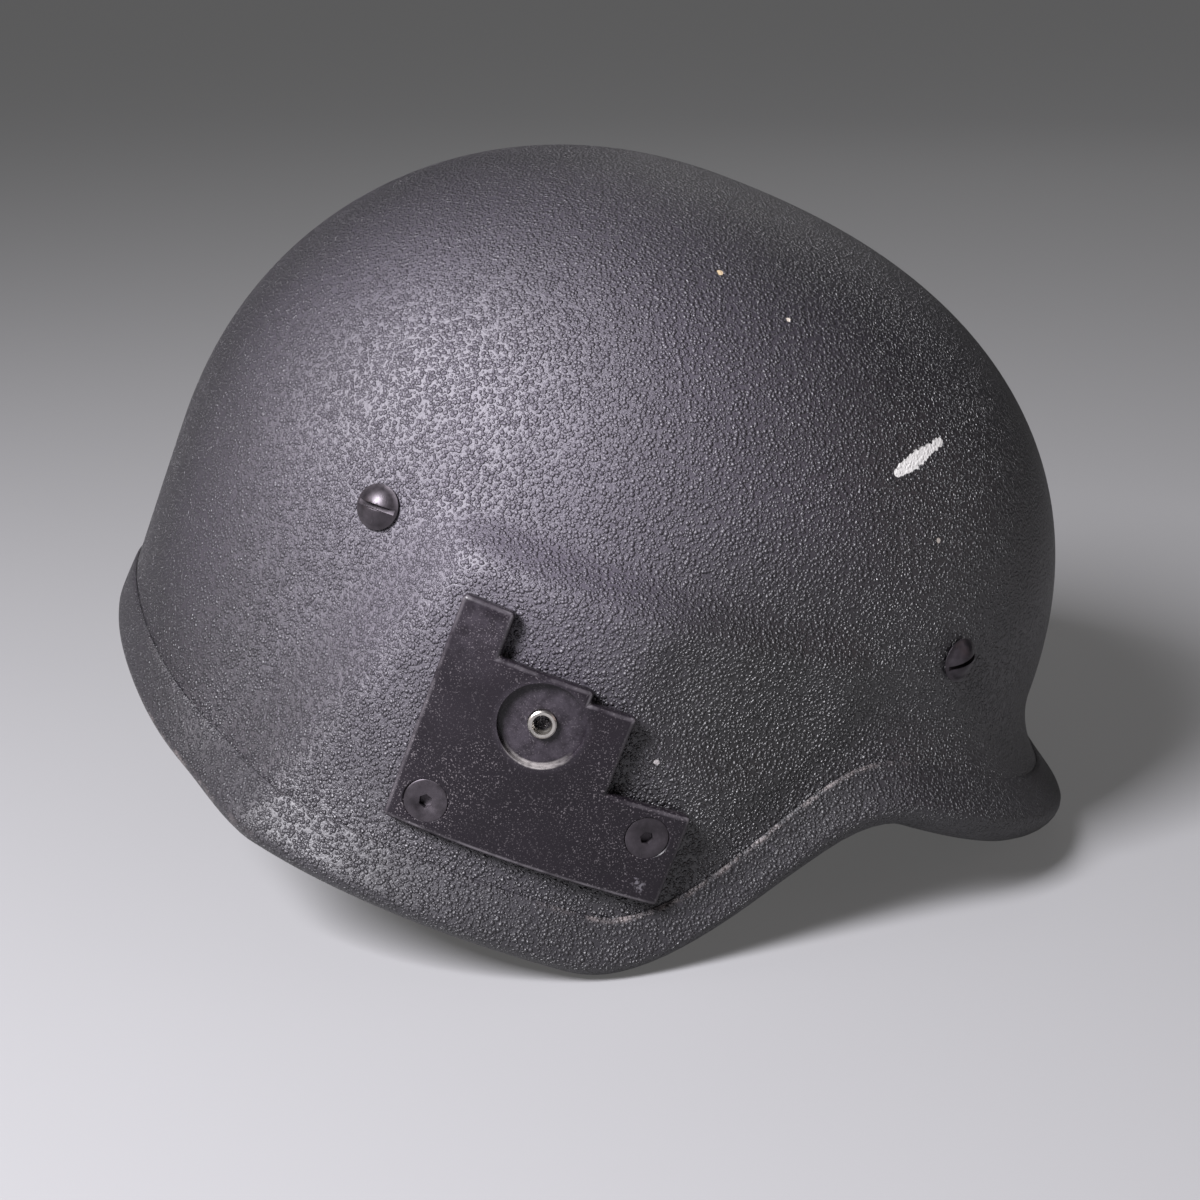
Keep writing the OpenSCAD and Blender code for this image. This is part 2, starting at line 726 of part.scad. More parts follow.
// Nape yoke: two straight arms in the loops of the headband, joined by a curved back
arm_len = 36;
yoke_y = band_half - run_gap;
yoke_x = tail_end;
yoke_reach = rear_reach - shell_t - nape_clear + yoke_x - arm_t;
function yoke_at(t, r) = [yoke_x + (yoke_reach + r) * cos(t), (yoke_y - arm_t + r) * sin(t)];
module nape_yoke() {
    arm = [for (s = [-1, 1]) [[yoke_x - eps, s * (yoke_y - arm_t)], [yoke_x + arm_len, s * (yoke_y - arm_t)],
        [yoke_x + arm_len, s * yoke_y], [yoke_x - eps, s * yoke_y]]];
    back = concat([for (t = [90 : 6 : 270]) yoke_at(t, arm_t)], [for (t = [270 : -6 : 90]) yoke_at(t, 0)]);
    color("#29282d")
        stand()
            union() {
                translate([0, 0, band_z + arm_z + run_gap])
                    linear_extrude(height = arm_wide - 2 * run_gap) {
                        polygon(arm[0]);
                        polygon(arm[1]);
                    }
                translate([0, 0, band_z + arm_z + run_gap])
                    linear_extrude(height = arm_wide - 2 * run_gap)
                        polygon(back);
            }
}
module nape_pad() {
    // Crowned pad on the inside of the yoke's back
    steps = 16;
    span = 52;
    h = band_h;
    crown = [for (t = [0 : 0.125 : 1]) [0.8 + 5 * pow(sin(180 * t), 0.6), t * h]];
    profile = concat([[0, h], [0, 0]], crown);
    n = len(profile);
    rings = [for (s = [0 : steps]) let (t = 180 - span + 2 * span * s / steps,
        end = sqrt(max(0, 1 - pow(abs(2 * s / steps - 1), 8))))
        [for (p = profile) let (q = yoke_at(t, -seat_gap - p.x * (0.3 + 0.7 * end)))
            [q.x, q.y, band_z - 4 + p.y]]];
    sides = [for (s = [0 : steps - 1], k = [0 : n - 1]) let (p = s * n, q = p + n, l = (k + 1) % n)
        each [[p + k, q + k, q + l], [p + k, q + l, p + l]]];
    last = steps * n;
    color("#4b2f20")
        stand()
            polyhedron([for (r = rings) each r], concat(sides, [for (k = [1 : n - 2]) [0, k, k + 1]],
                [for (k = [1 : n - 2]) [last, last + k + 1, last + k]]));
}

// Foam pads inside the dome, crowned, with drawn-in sides, each on a patch of hook tape
hook_t = 1.2;
hook_gap = 0.35;
pad_out = shell_t + seat_gap + hook_t + hook_gap;
front_half_a = 34;
rear_half_a = 38;
side_half_a = 32;
module dome_pad(a, half_a) {
    z0 = waist_z + pad_low;
    z1 = crown_z - pad_high;
    u = 10;
    v = 8;
    n = u + 1;
    m = v + 1;
    total = n * m;
    function dome_z(t) = z0 + (z1 - z0) * t;
    function round_in(s) = pow(max(0, 1 - pow(abs(2 * s - 1), 4)), 0.5);
    points = [for (layer = [0, 1], j = [0 : v], i = [0 : u]) let (s = i / u, t = j / v,
        wide = 1 - 0.12 * pow(abs(2 * t - 1), 3), tall = 1 - 0.1 * pow(abs(2 * s - 1), 3),
        b = a + half_a * (2 * s - 1) * wide, z = dome_z(0.5 + (t - 0.5) * tall),
        thick = layer == 0 ? 0 : 3 + (pad_t - 3) * round_in(s) * round_in(t))
        inside(b, z, pad_out + thick)];
    rows = [for (j = [0 : v - 1], k = [0 : u - 1], f = cell(j * n, (j + 1) * n, k, n, false)) f];
    low = [for (k = [0 : u - 1], f = cell(0, total, k, n, false)) f];
    high = [for (k = [0 : u - 1], f = cell(total - n, 2 * total - n, k, n, false)) f];
    left = [for (j = [0 : v - 1]) each [[j * n, (j + 1) * n, total + (j + 1) * n],
        [j * n, total + (j + 1) * n, total + j * n]]];
    right = [for (j = [0 : v - 1]) each [[(j + 1) * n - 1, total + (j + 2) * n - 1, (j + 2) * n - 1],
        [(j + 1) * n - 1, total + (j + 1) * n - 1, total + (j + 2) * n - 1]]];
    inner = [for (f = flipped(rows)) f + [total, total, total]];
    polyhedron(points, concat(rows, inner, high, flipped(low), flipped(left), flipped(right)));
}
module front_pad() {
    color("#2b2b30")
        stand()
            dome_pad(0, front_half_a);
}
module rear_pad() {
    color("#2b2b30")
        stand()
            dome_pad(180, rear_half_a);
}
module right_pad() {
    color("#2b2b30")
        stand()
            dome_pad(-90, side_half_a);
}
module left_pad() {
    color("#2b2b30")
        stand()
            dome_pad(90, side_half_a);
}

// Round crown pad, crowned below, under the top of the dome
crown_gap = 0.45;
module crown_pad() {
    rings = 7;
    n = 32;
    function top_z(x, y) = ceiling(x, y) - crown_gap;
    top = [for (j = [1 : rings], k = [0 : n - 1]) let (r = crown_pad_r * j / rings, a = 360 * k / n,
        x = crown_shift + r * cos(a), y = r * sin(a)) [x, y, top_z(x, y)]];
    bottom = [for (j = [1 : rings], k = [0 : n - 1]) let (f = j / rings, r = (crown_pad_r - 1.5 * f) * f,
        a = 360 * k / n, x = crown_shift + r * cos(a), y = r * sin(a))
        [x, y, top_z(x, y) - 4 - (pad_t - 4) * pow(max(0, 1 - pow(f, 4)), 0.5)]];
    total = rings * n;
    middle = top_z(crown_shift, 0);
    points = concat(top, bottom, [[crown_shift, 0, middle], [crown_shift, 0, middle - pad_t]]);
    faces = concat(
        flipped([for (j = [0 : rings - 2], f = strip(j * n, (j + 1) * n, n)) f]),
        [for (j = [0 : rings - 2], f = strip(total + j * n, total + (j + 1) * n, n)) f],
        flipped(strip((rings - 1) * n, total + (rings - 1) * n, n)),
        [for (k = [0 : n - 1]) [k, 2 * total, (k + 1) % n]],
        [for (k = [0 : n - 1]) [total + k, total + (k + 1) % n, 2 * total + 1]]);
    color("#2b2b30")
        stand()
            polyhedron(points, faces);
}
// Height of the ceiling inside the dome over a point of the plan
function ceiling(x, y, lo = waist_z, hi = crown_z, n = 20) = let (m = (lo + hi) / 2,
    a = atan2(y, x - crown_shift), q = inside(a, min(m, crown_z - 0.05), shell_t))
    n == 0 ? q.z : norm([q.x - crown_shift, q.y]) > norm([x - crown_shift, y]) ? ceiling(x, y, m, hi, n - 1)
    : ceiling(x, y, lo, m, n - 1);

// Hook tape between the pads and the shell
module pad_hooks() {
    color("#3c3c40")
        stand() {
            for (a = [0, 180, -90, 90])
                wall_patch(a / column_a - 3, a / column_a + 3, skirt_rows + 4, skirt_rows + 6,
                    -shell_t - seat_gap - hook_t, -shell_t - seat_gap);
        }
}

// Steel anchor plates for the chin strap, bent to the inside of the ear flap
anchor_low = 18;
anchor_high = 47;
anchor_back = bracket_holes[0].x - 8;
anchor_fore = bracket_holes[1].x + 8;
stud_y = face(-90, swing_z).y + shell_t + seat_gap + anchor_t;
collar_h = 2.8;
end_t = 1.5;
module strap_anchor() {
    outline = [[anchor_back, anchor_low + 2], [anchor_back, anchor_high - 8],
        [bracket_holes[0].x + 6, anchor_high - 4], [bracket_holes[1].x - 8, anchor_high],
        [anchor_fore, anchor_high], [anchor_fore, anchor_low + 12], [8, anchor_low], [-14, anchor_low]];
    difference() {
        union() {
            intersection() {
                wall_patch(49, 59, rim_rows, skirt_rows,
                    -shell_t - seat_gap - anchor_t, -shell_t - seat_gap);
                outline_block(outline, 3, -half_width - 20, -half_width + 40);
            }
            translate([0, stud_y - 1, swing_z])
                rotate([-90, 0, 0]) {
                    cylinder(h = 1 + collar_h, r = stud_r + 1.5);
                    cylinder(h = 1 + collar_h + end_t + 2 * run_gap, r = stud_r);
                    translate([0, 0, 1 + collar_h + end_t + 2 * run_gap - eps])
                        cylinder(h = 1.4, r = stud_r + 1.8);
                }
        }
        for (k = [0, 1])
            at_bracket_hole(k)
                translate([0, 0, -shell_t - 6])
                    cylinder(h = 10, r = sleeve_r + 0.2);
    }
}
module strap_anchor_right() {
    color("#6d6a66")
        stand()
            strap_anchor();
}
module strap_anchor_left() {
    color("#6d6a66")
        stand()
            on_left()
                strap_anchor();
}

// The strap is a loop in its own plane: u runs from the pivots to the chin, z across the webbing.
// At rest it lies on the ground under the opening, swung forward.
end_y = stud_y + collar_h + run_gap;
fork_u = 16;
wing_u = 74;
wing_y = 47;
wing_len = 36;
cup_t = 5;
chin_r = wing_y - wing_len * sin(45);
cup_u = wing_u + wing_len * cos(45) + chin_r * tan(22.5) + cup_t / 2;
drop = swing_z * cos(nose_down) + ground - seat_gap;
swing_lift = nose_down - asin(drop / norm([cup_u, cup_h / 2])) + atan2(cup_h / 2, cup_u);
module in_loop() {
    translate([0, 0, swing_z])
        rotate([0, -swing_lift, 0])
            children();
}

// Run of the right webbing from the eyelet plate to the chin cup
web_y = end_y + end_t + seat_gap + web_t / 2;
run_from = [fork_u, web_y];
run_to = [wing_u, -wing_y];
run_len = norm(run_to - run_from);
run_a = atan2(run_to.y - run_from.y, run_to.x - run_from.x);
module on_run(s) {
    translate([run_from.x, run_from.y, 0])
        rotate([0, 0, run_a])
            translate([s, 0, 0])
                children();
}

// Eyelet plate that turns on the stud
module strap_end() {
    translate([0, end_y, 0])
        difference() {
            union() {
                rotate([-90, 0, 0])
                    cylinder(h = end_t, r = 8.5);
                translate([0, 0, -8.5])
                    cube([fork_u + 1, end_t, 17]);
            }
            translate([0, -1, 0])
                rotate([-90, 0, 0])
                    cylinder(h = end_t + 2, r = stud_r + fit_gap);
        }
}
module strap_end_right() {
    color("#6d6a66")
        stand()
            in_loop()
                strap_end();
}
module strap_end_left() {
    color("#6d6a66")
        stand()
            on_left()
                in_loop()
                    strap_end();
}

// Webbing: a short flat length riveted on the eyelet plate, then the straight run
module webbing_from_end(length) {
    near = web_y - web_t / 2;
    far = web_y + web_t / 2;
    bend = [[7, near], [fork_u, near], [fork_u, far], [7, far]];
    translate([0, 0, -web_w / 2])
        linear_extrude(height = web_w) {
            polygon(bend);
            translate(run_from)
                circle(r = web_t / 2, $fn = 24);
            translate(run_from)
                rotate(run_a)
                    translate([0, -web_t / 2])
                        square([length, web_t]);
        }
}
socket_s = 12;
socket_len = 30;
socket_h = 9;
socket_w = web_w + 6;
module strap_upper_right() {
    color("#202024")
        stand()
            in_loop()
                webbing_from_end(socket_s + 5);
}
module strap_left() {
    color("#202024")
        stand()
            on_left()
                in_loop()
                    webbing_from_end(run_len + wing_len - 4);
}

// Buckle socket: a hollow body with a slot for the webbing behind and a mouth for the plug
wall_b = 1.6;
mouth_w = socket_w - 2 * wall_b;
mouth_h = socket_h - 2 * wall_b;
socket_back = 8;
module buckle_socket() {
    color("#1b1b1e")
        stand()
            in_loop()
                on_run(socket_s)
                    difference() {
                        rotate([90, 0, 0])
                            translate([0, 0, -socket_h / 2])
                                linear_extrude(height = socket_h)
                                    polygon(rounded([[0, -socket_w / 2], [socket_len, -socket_w / 2],
                                        [socket_len, socket_w / 2], [0, socket_w / 2]], 3));
                        translate([socket_back, -mouth_h / 2, -mouth_w / 2])
                            cube([socket_len, mouth_h, mouth_w]);
                        translate([-1, -web_t / 2 - seat_gap, -web_w / 2 - seat_gap])
                            cube([7, web_t + 2 * seat_gap, web_w + 2 * seat_gap]);
                        for (s = [-1, 1])
                            translate([socket_back + 6, -mouth_h / 2, s * socket_w / 2 - 3])
                                cube([10, mouth_h, 6]);
                    }
}

// Plug: a grip outside the mouth, two prongs and a centre guide inside it
grip_len = 10;
prong_len = socket_len - socket_back - 4;
grip_s = socket_s + socket_len + run_gap;
module buckle_plug() {
    inner_w = mouth_w - 2 * run_gap;
    thick = mouth_h - 2 * run_gap;
    color("#1b1b1e")
        stand()
            in_loop()
                on_run(grip_s)
                    difference() {
                        union() {
                            rotate([90, 0, 0])
                                translate([0, 0, -socket_h / 2])
                                    linear_extrude(height = socket_h)
                                        polygon(rounded([[0, -socket_w / 2], [grip_len, -socket_w / 2],
                                            [grip_len, socket_w / 2], [0, socket_w / 2]], 2.5));
                            for (s = [-1, 1])
                                translate([-prong_len, -thick / 2, s > 0 ? inner_w / 2 - 3.4 : -inner_w / 2])
                                    cube([prong_len + 1, thick, 3.4]);
                            translate([-prong_len + 8, -thick / 2, -1.6])
                                cube([prong_len - 7, thick, 3.2]);
                        }
                        translate([grip_len - 6, -web_t / 2 - seat_gap, -web_w / 2 - seat_gap])
                            cube([8, web_t + 2 * seat_gap, web_w + 2 * seat_gap]);
                    }
}
// Webbing sewn to the plug: it slides into the chin cup when the buckle opens
module strap_lower_right() {
    start = grip_s + grip_len - 5;
    color("#202024")
        stand()
            in_loop()
                on_run(start)
                    translate([0, -web_t / 2, -web_w / 2])
                        cube([run_len - start + wing_len - plug_travel - 3, web_t, web_w]);
}

// Slider that sets the length of the left strap
slider_s = 24;
slider_len = 12;
module strap_slider() {
    color("#1b1b1e")
        stand()
            on_left()
                in_loop()
                    on_run(slider_s)
                        difference() {
                            rotate([90, 0, 0])
                                translate([0, 0, -2.6])
                                    linear_extrude(height = 5.2)
                                        polygon(rounded([[0, -socket_w / 2], [slider_len, -socket_w / 2],
                                            [slider_len, socket_w / 2], [0, socket_w / 2]], 2));
                            translate([-1, -web_t / 2 - run_gap, -web_w / 2 - run_gap])
                                cube([slider_len + 2, web_t + 2 * run_gap, web_w + 2 * run_gap]);
                        }
}

// Chin cup: two straight wings with pockets for the webbing, joined by a round front
module chin_cup() {
    tip = [wing_u + wing_len * cos(45), -wing_y + wing_len * sin(45)];
    centre = [tip.x + tip.y, 0];
    r = norm(tip - centre);
    half = atan2(-tip.y, tip.x - centre.x);
    arc = [for (t = [-half : 6 : half + eps]) [cos(t), sin(t)]];
    wing = [cos(45), sin(45)];
    side = [-sin(45), cos(45)] * cup_t / 2;
    start = tip - wing * wing_len;
    outline = concat([start - side], [for (p = arc) centre + p * (r + cup_t / 2)],
        [[start.x - side.x, -start.y + side.y], [start.x + side.x, -start.y - side.y]],
        [for (k = [len(arc) - 1 : -1 : 0]) centre + arc[k] * (r - cup_t / 2)], [start + side]);
    color("#27211f")
        stand()
            in_loop()
                difference() {
                    translate([0, 0, -cup_h / 2])
                        linear_extrude(height = cup_h)
                            polygon(outline);
                    on_both()
                        on_run(run_len)
                            translate([-1, -web_t / 2 - run_gap, -web_w / 2 - run_gap])
                                cube([wing_len, web_t + 2 * run_gap, web_w + 2 * run_gap]);
                }
}

shell();
edge_trim();
bracket_right();
bracket_left();
pivot_nut_right();
pivot_nut_left();
bracket_screws_right();
bracket_screws_left();
bracket_nuts();
liner_screws();
liner_nuts();
liner_hangers();
headband();
sweatband();
nape_yoke();
nape_pad();
crown_pad();
front_pad();
rear_pad();
right_pad();
left_pad();
pad_hooks();
strap_anchor_right();
strap_anchor_left();
strap_end_right();
strap_end_left();
strap_upper_right();
buckle_socket();
buckle_plug();
strap_lower_right();
strap_left();
strap_slider();
chin_cup();
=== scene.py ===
import math
import bpy
from mathutils import Matrix, Vector


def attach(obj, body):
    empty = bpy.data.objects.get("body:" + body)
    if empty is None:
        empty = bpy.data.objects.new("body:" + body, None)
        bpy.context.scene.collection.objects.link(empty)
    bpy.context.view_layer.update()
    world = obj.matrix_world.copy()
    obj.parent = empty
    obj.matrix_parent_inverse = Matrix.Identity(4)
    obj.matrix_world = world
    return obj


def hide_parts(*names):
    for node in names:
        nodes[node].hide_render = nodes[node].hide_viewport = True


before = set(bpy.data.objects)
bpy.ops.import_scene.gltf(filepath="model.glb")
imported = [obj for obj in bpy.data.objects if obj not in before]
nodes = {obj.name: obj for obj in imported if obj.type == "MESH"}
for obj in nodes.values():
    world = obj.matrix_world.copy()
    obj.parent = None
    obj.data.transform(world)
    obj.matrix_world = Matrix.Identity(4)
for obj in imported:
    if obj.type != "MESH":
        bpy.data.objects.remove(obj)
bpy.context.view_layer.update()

# Light, floor and camera: a pale floor, soft daylight from all round and one large soft lamp
# from the upper left. The camera looks at the wearer's right side from a little above.
view_side = -2.459
view_height = 15.69
view_roll = -0.863
view_distance = 0.6896
view_target = Vector((0.0015, 0, 0.0618))
lens_mm = 71.8

scene = bpy.context.scene
scene.view_settings.view_transform = "Standard"

bpy.ops.object.camera_add()
camera = bpy.context.object
camera.data.lens = lens_mm
camera.data.sensor_width = 36
side, height = math.radians(view_side), math.radians(view_height)
back = Vector((math.sin(side) * math.cos(height), -math.cos(side) * math.cos(height), math.sin(height)))
camera.location = view_target + back * view_distance
roll = Matrix.Rotation(math.radians(view_roll), 4, "Z")
camera.rotation_euler = ((-back).to_track_quat("-Z", "Y").to_matrix().to_4x4() @ roll).to_euler()
camera.data.clip_start = 0.01
scene.camera = camera


def new_material(name, shade, roughness, metallic=0.0):
    """A material and its main shader."""
    material = bpy.data.materials.new(name)
    material.use_nodes = True
    material.diffuse_color = (*shade, 1)
    shader = material.node_tree.nodes["Principled BSDF"]
    shader.inputs["Base Color"].default_value = (*shade, 1)
    shader.inputs["Roughness"].default_value = roughness
    shader.inputs["Metallic"].default_value = metallic
    return material, shader


floor_paint, floor_shader = new_material("floor_paint", (0.22, 0.22, 0.225), 0.8)
floor_shader.inputs["Emission Color"].default_value = (1, 0.99, 0.99, 1)
floor_shader.inputs["Emission Strength"].default_value = 0.09
bpy.ops.mesh.primitive_plane_add(size=60, location=(0, 0, -0.0004))
floor = bpy.context.object
floor.name = "floor"
floor.data.materials.append(floor_paint)

world = bpy.data.worlds.new("daylight")
scene.world = world
world.use_nodes = True
sky = world.node_tree.nodes["Background"]
sky.inputs["Color"].default_value = (0.84, 0.86, 0.92, 1)
sky.inputs["Strength"].default_value = 0.05

lamps = (
    ("key", (-0.64, -0.72, 0.86), 0.42, 49, (0.965, 0.95, 1.0)),
    ("rear_glow", (-1.1, -0.1, 0.45), 0.5, 1.0, (1.0, 0.80, 0.78)),
    ("front_glow", (1.1, -0.4, 0.45), 0.6, 0.9, (1.0, 0.80, 0.78)),
    ("far_side", (0.6, 1.8, 1.2), 1.0, 1.6, (1.0, 0.98, 0.96)),
)
for name, place, size, power, shade in lamps:
    bpy.ops.object.light_add(type="AREA", location=place)
    lamp = bpy.context.object
    lamp.name = name
    lamp.data.size = size
    lamp.data.energy = power
    lamp.data.color = shade
    lamp.rotation_euler = (Vector((0, 0, 0.08)) - lamp.location).to_track_quat("-Z", "Y").to_euler()

# Shell: laminate nine millimetres thick, with a flared brim, ear flaps and a bulge over each ear.
# It is drawn as it is worn, x to the front, and then tipped nose down by its stance.
# Its coat is coarse anti-skid paint, a little glossy and chipped; inside it is plain.
front_reach, rear_reach, half_width = 0.1365, 0.115, 0.1115
waist_z, crown_z, crown_shift = 0.071, 0.1845, 0.0036
shell_t = 0.009
plan_power, side_power, skirt_reach = 2.04, 2.27, 0.080
front_power, rear_power = 2.3, 2.12
bulge_out, bulge_top, hollow_in = 0.0104, 0.093, 0.0046
ear_rise, brow_drop, nape_rise = 0.0589, 0.0043, 0.015
brim_out, brim_h = 0.0212, 0.0272
ear_out, nape_out, skirt_h = 0.0047, 0.0004, 0.030
bead_h, trim_gap = 0.0034, 0.00015
grit_spacing = 0.0013
nose_down = math.radians(21.437873)
ground = 0.01084573
centre_x = 0.03245328
stance = Matrix.Translation((-centre_x, 0, ground)) @ Matrix.Rotation(nose_down, 4, "Y")


def ease(t):
    """Smooth step from 0 to 1."""
    t = min(1, max(0, t))
    return t * t * (3 - 2 * t)


def round_ramp(t, start, end):
    """Straight ramp from 0 to 1 whose two ends are rounded over these shares."""
    t, slope = min(1, max(0, t)), 1 / (1 - start / 2 - end / 2)
    if t < start:
        return slope * t * t / (2 * start)
    return slope * (t - start / 2) if t < 1 - end else 1 - slope * (1 - t) ** 2 / (2 * end)


def turn_of(angle):
    """Angle from the front without its sign, and the shares of the brim and of the nape there."""
    turn = abs((angle + 180) % 360 - 180)
    return turn, ease((75 - turn) / 45), ease((turn - 110) / 50)


def drop_part(angle):
    """Share of the edge's rise from the ear flap to the brow."""
    return round_ramp((80 - turn_of(angle)[0]) / 34, 0.56, 0.29)


def edge_low(angle):
    """Height of the bottom of the trim."""
    turn = turn_of(angle)[0]
    brow, nape = brow_drop * ease(1 - turn / 45), nape_rise * ease((turn - 125) / 55)
    return ear_rise * drop_part(angle) - brow + nape


def edge_flare(angle):
    """How far the wall stands out at its very edge: the brim's share and the rest."""
    turn, brim, nape = turn_of(angle)
    return brim_out * brim, nape_out * nape + ear_out * (1 - brim - nape)


def flare(angle, rise):
    """How far the wall stands out at a rise above its edge."""
    brim, skirt = edge_flare(angle)
    rise = max(0, rise)
    return brim * max(0, 1 - rise / brim_h) ** 2 + skirt * max(0, 1 - rise / skirt_h) ** 2


def skirt_slope(angle):
    """How steeply the wall stands out at its very edge."""
    brim, skirt = edge_flare(angle)
    return 2 * (brim / brim_h + skirt / skirt_h)


def rim(angle):
    """Height of the laminate's rim, above the bead of the trim."""
    return edge_low(angle) + (bead_h + trim_gap) / math.hypot(1, skirt_slope(angle))


def ear_bulge(across, x, z):
    """Depth of the bulge over the ear, less the shallow hollow at the temple."""
    bulge = bulge_out * ease((bulge_top - z) / 0.012 + 0.5)
    bulge *= ease((x + 0.060 - 0.35 * (z - 0.040)) / 0.022 + 0.5)
    bulge *= ease((0.057 - x) / 0.055 + 0.5)
    hollow = hollow_in * ease(1 - ((x - 0.038) / 0.029) ** 2 - ((z - 0.076) / 0.024) ** 2)
    return ease((abs(across) - 0.3) / 0.3) * (bulge - hollow)


def outer_face(angle, z):
    """Point of the outer face at an angle from the front and a height, as the helmet is worn."""
    along, across = math.cos(math.radians(angle)), math.sin(math.radians(angle))
    reach = front_reach if along > 0 else rear_reach
    r = ((abs(along) / reach) ** plan_power + (abs(across) / half_width) ** plan_power) ** (-1 / plan_power)
    lift = max(0, z - waist_z) / (crown_z - waist_z)
    if lift > 0:
        power = (front_power if along > 0 else rear_power) * along * along + side_power * across * across
        r *= max(0, 1 - lift ** power) ** (1 / power)
    low = max(0, waist_z - z) / skirt_reach
    r += (0.0023 * across * across - (0 if along > 0 else 0.0013 * along * along)) * low * low
    r += flare(angle, z - edge_low(angle))
    x = r * along
    y = r * across + math.copysign(ear_bulge(across, x, z), across)
    return Vector((x + crown_shift * lift * lift, y, z))


def outward(angle, z):
    """Unit normal of the outer face."""
    up = outer_face(angle, min(z + 0.00005, crown_z - 0.00001)) - outer_face(angle, z - 0.00005)
    return (outer_face(angle + 0.2, z) - outer_face(angle - 0.2, z)).cross(up).normalized()


def on_wall(angle, z, out):
    """Point at a distance out from the outer face."""
    return outer_face(angle, z) + outward(angle, z) * out


def place_mesh(piece, matrix):
    """Moves a piece's own vertices, so that its object stays at the origin."""
    bpy.context.view_layer.update()
    piece.data.transform(matrix @ piece.matrix_world)
    piece.matrix_world = Matrix.Identity(4)
    if matrix.determinant() < 0:
        piece.data.flip_normals()
    piece.data.update()


def finish_piece(piece, name, material, slot, body, *cad_nodes):
    """Names a piece, gives it its material, its body and the nodes that it stands for."""
    piece.name = name
    piece.data.name = name
    if material:
        piece.data.materials.clear()
        piece.data.materials.append(material)
    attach(piece, body)
    if cad_nodes:
        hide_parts(*cad_nodes)


def choose(piece):
    """Makes a piece the only selected one."""
    bpy.ops.object.select_all(action="DESELECT")
    piece.select_set(True)
    bpy.context.view_layer.objects.active = piece


def apply_modifier(piece, kind, **values):
    """Adds one modifier and applies it."""
    choose(piece)
    modifier = piece.modifiers.new(kind.title(), kind)
    for name, value in values.items():
        setattr(modifier, name, value)
    bpy.ops.object.modifier_apply(modifier=modifier.name)


def smooth(piece, degrees=180.0):
    """Smooth shading, kept sharp at edges over an angle."""
    choose(piece)
    if degrees < 180:
        bpy.ops.object.shade_smooth_by_angle(angle=math.radians(degrees))
    else:
        bpy.ops.object.shade_smooth()


def clean(piece, merge=0.0, fill=False):
    """Merges points closer than a distance, fills holes if asked, and turns all faces outward."""
    choose(piece)
    bpy.ops.object.mode_set(mode="EDIT")
    bpy.ops.mesh.select_all(action="SELECT")
    if merge:
        bpy.ops.mesh.remove_doubles(threshold=merge)
    if fill:
        bpy.ops.mesh.fill_holes(sides=0)
        bpy.ops.mesh.select_all(action="SELECT")
    bpy.ops.mesh.normals_make_consistent(inside=False)
    bpy.ops.object.mode_set(mode="OBJECT")


wall_columns, wall_rows, waist_share = 288, 110, 0.42
bpy.ops.mesh.primitive_grid_add(x_subdivisions=wall_columns, y_subdivisions=wall_rows, size=1)
shell = bpy.context.object
for vertex in shell.data.vertices:
    angle = (vertex.co.x + 0.5) * 360
    share = vertex.co.y + 0.5
    if share < waist_share:
        z = rim(angle) + (waist_z - rim(angle)) * share / waist_share
    else:
        z = waist_z + (crown_z - waist_z) * math.sin(math.pi / 2 * (share - waist_share) / (1 - waist_share))
    vertex.co = outer_face(angle, z)
clean(shell, 0.00001)


def add_node(beside, kind, links=(), **values):
    """A shader node in the tree of another node or socket, with its values set by name and its
    inputs linked from other sockets."""
    tree = beside.id_data
    node = tree.nodes.new(kind)
    for name, value in values.items():
        if hasattr(node, name):
            setattr(node, name, value)
        else:
            node.inputs[name.replace("_", " ")].default_value = value
    for name, socket in dict(links).items():
        tree.links.new(socket, node.inputs[name])
    return node


def calculated(kind, inputs, **values):
    """A node whose numbered inputs are sockets, numbers or colours."""
    linked = {index: value for index, value in inputs.items() if isinstance(value, bpy.types.NodeSocket)}
    node = add_node(next(iter(linked.values())), kind, linked, **values)
    for index, value in inputs.items():
        if index not in linked:
            node.inputs[index].default_value = value
    return node


def object_place(shader, stretch=None):
    """Object coordinates, in metres, stretched along the axes if asked."""
    place = add_node(shader, "ShaderNodeTexCoord").outputs["Object"]
    if stretch:
        return add_node(shader, "ShaderNodeMapping", {"Vector": place}, Scale=stretch).outputs["Vector"]
    return place


def noise(place, scale, detail=3.0, roughness=0.55):
    """Soft cloudy noise, as a socket from 0 to 1."""
    return add_node(place, "ShaderNodeTexNoise", {"Vector": place}, Scale=scale, Detail=detail,
                    Roughness=roughness).outputs["Fac"]


def ramp(factor, *stops):
    """A ramp of greys through (position, grey) stops."""
    node = add_node(factor, "ShaderNodeValToRGB", {"Fac": factor})
    elements = node.color_ramp.elements
    while len(elements) < len(stops):
        elements.new(0.5)
    for element, (position, grey) in zip(elements, stops):
        element.position = position
        element.color = (grey, grey, grey, 1)
    return node.outputs["Color"]


def mix(factor, first, second, blend="MIX"):
    """Two colours mixed by a socket or a number; each is a colour or a socket."""
    first, second = ((*value, 1) if isinstance(value, tuple) else value for value in (first, second))
    inputs = {0: factor, 6: first, 7: second}
    return calculated("ShaderNodeMix", inputs, data_type="RGBA", blend_type=blend).outputs[2]


def sums(operation, first, second):
    """One step of arithmetic on two sockets, or on a socket and a number."""
    return calculated("ShaderNodeMath", {0: first, 1: second}, operation=operation).outputs[0]


def times(first, second):
    """A product of two sockets, or of a socket and a number."""
    return sums("MULTIPLY", first, second)


def plus(first, second):
    """A sum of two sockets, or of a socket and a number."""
    return sums("ADD", first, second)


def tint(shade, share, lift=0.0):
    """A shade made darker or lighter."""
    return tuple(min(1, value * share + lift) for value in shade)


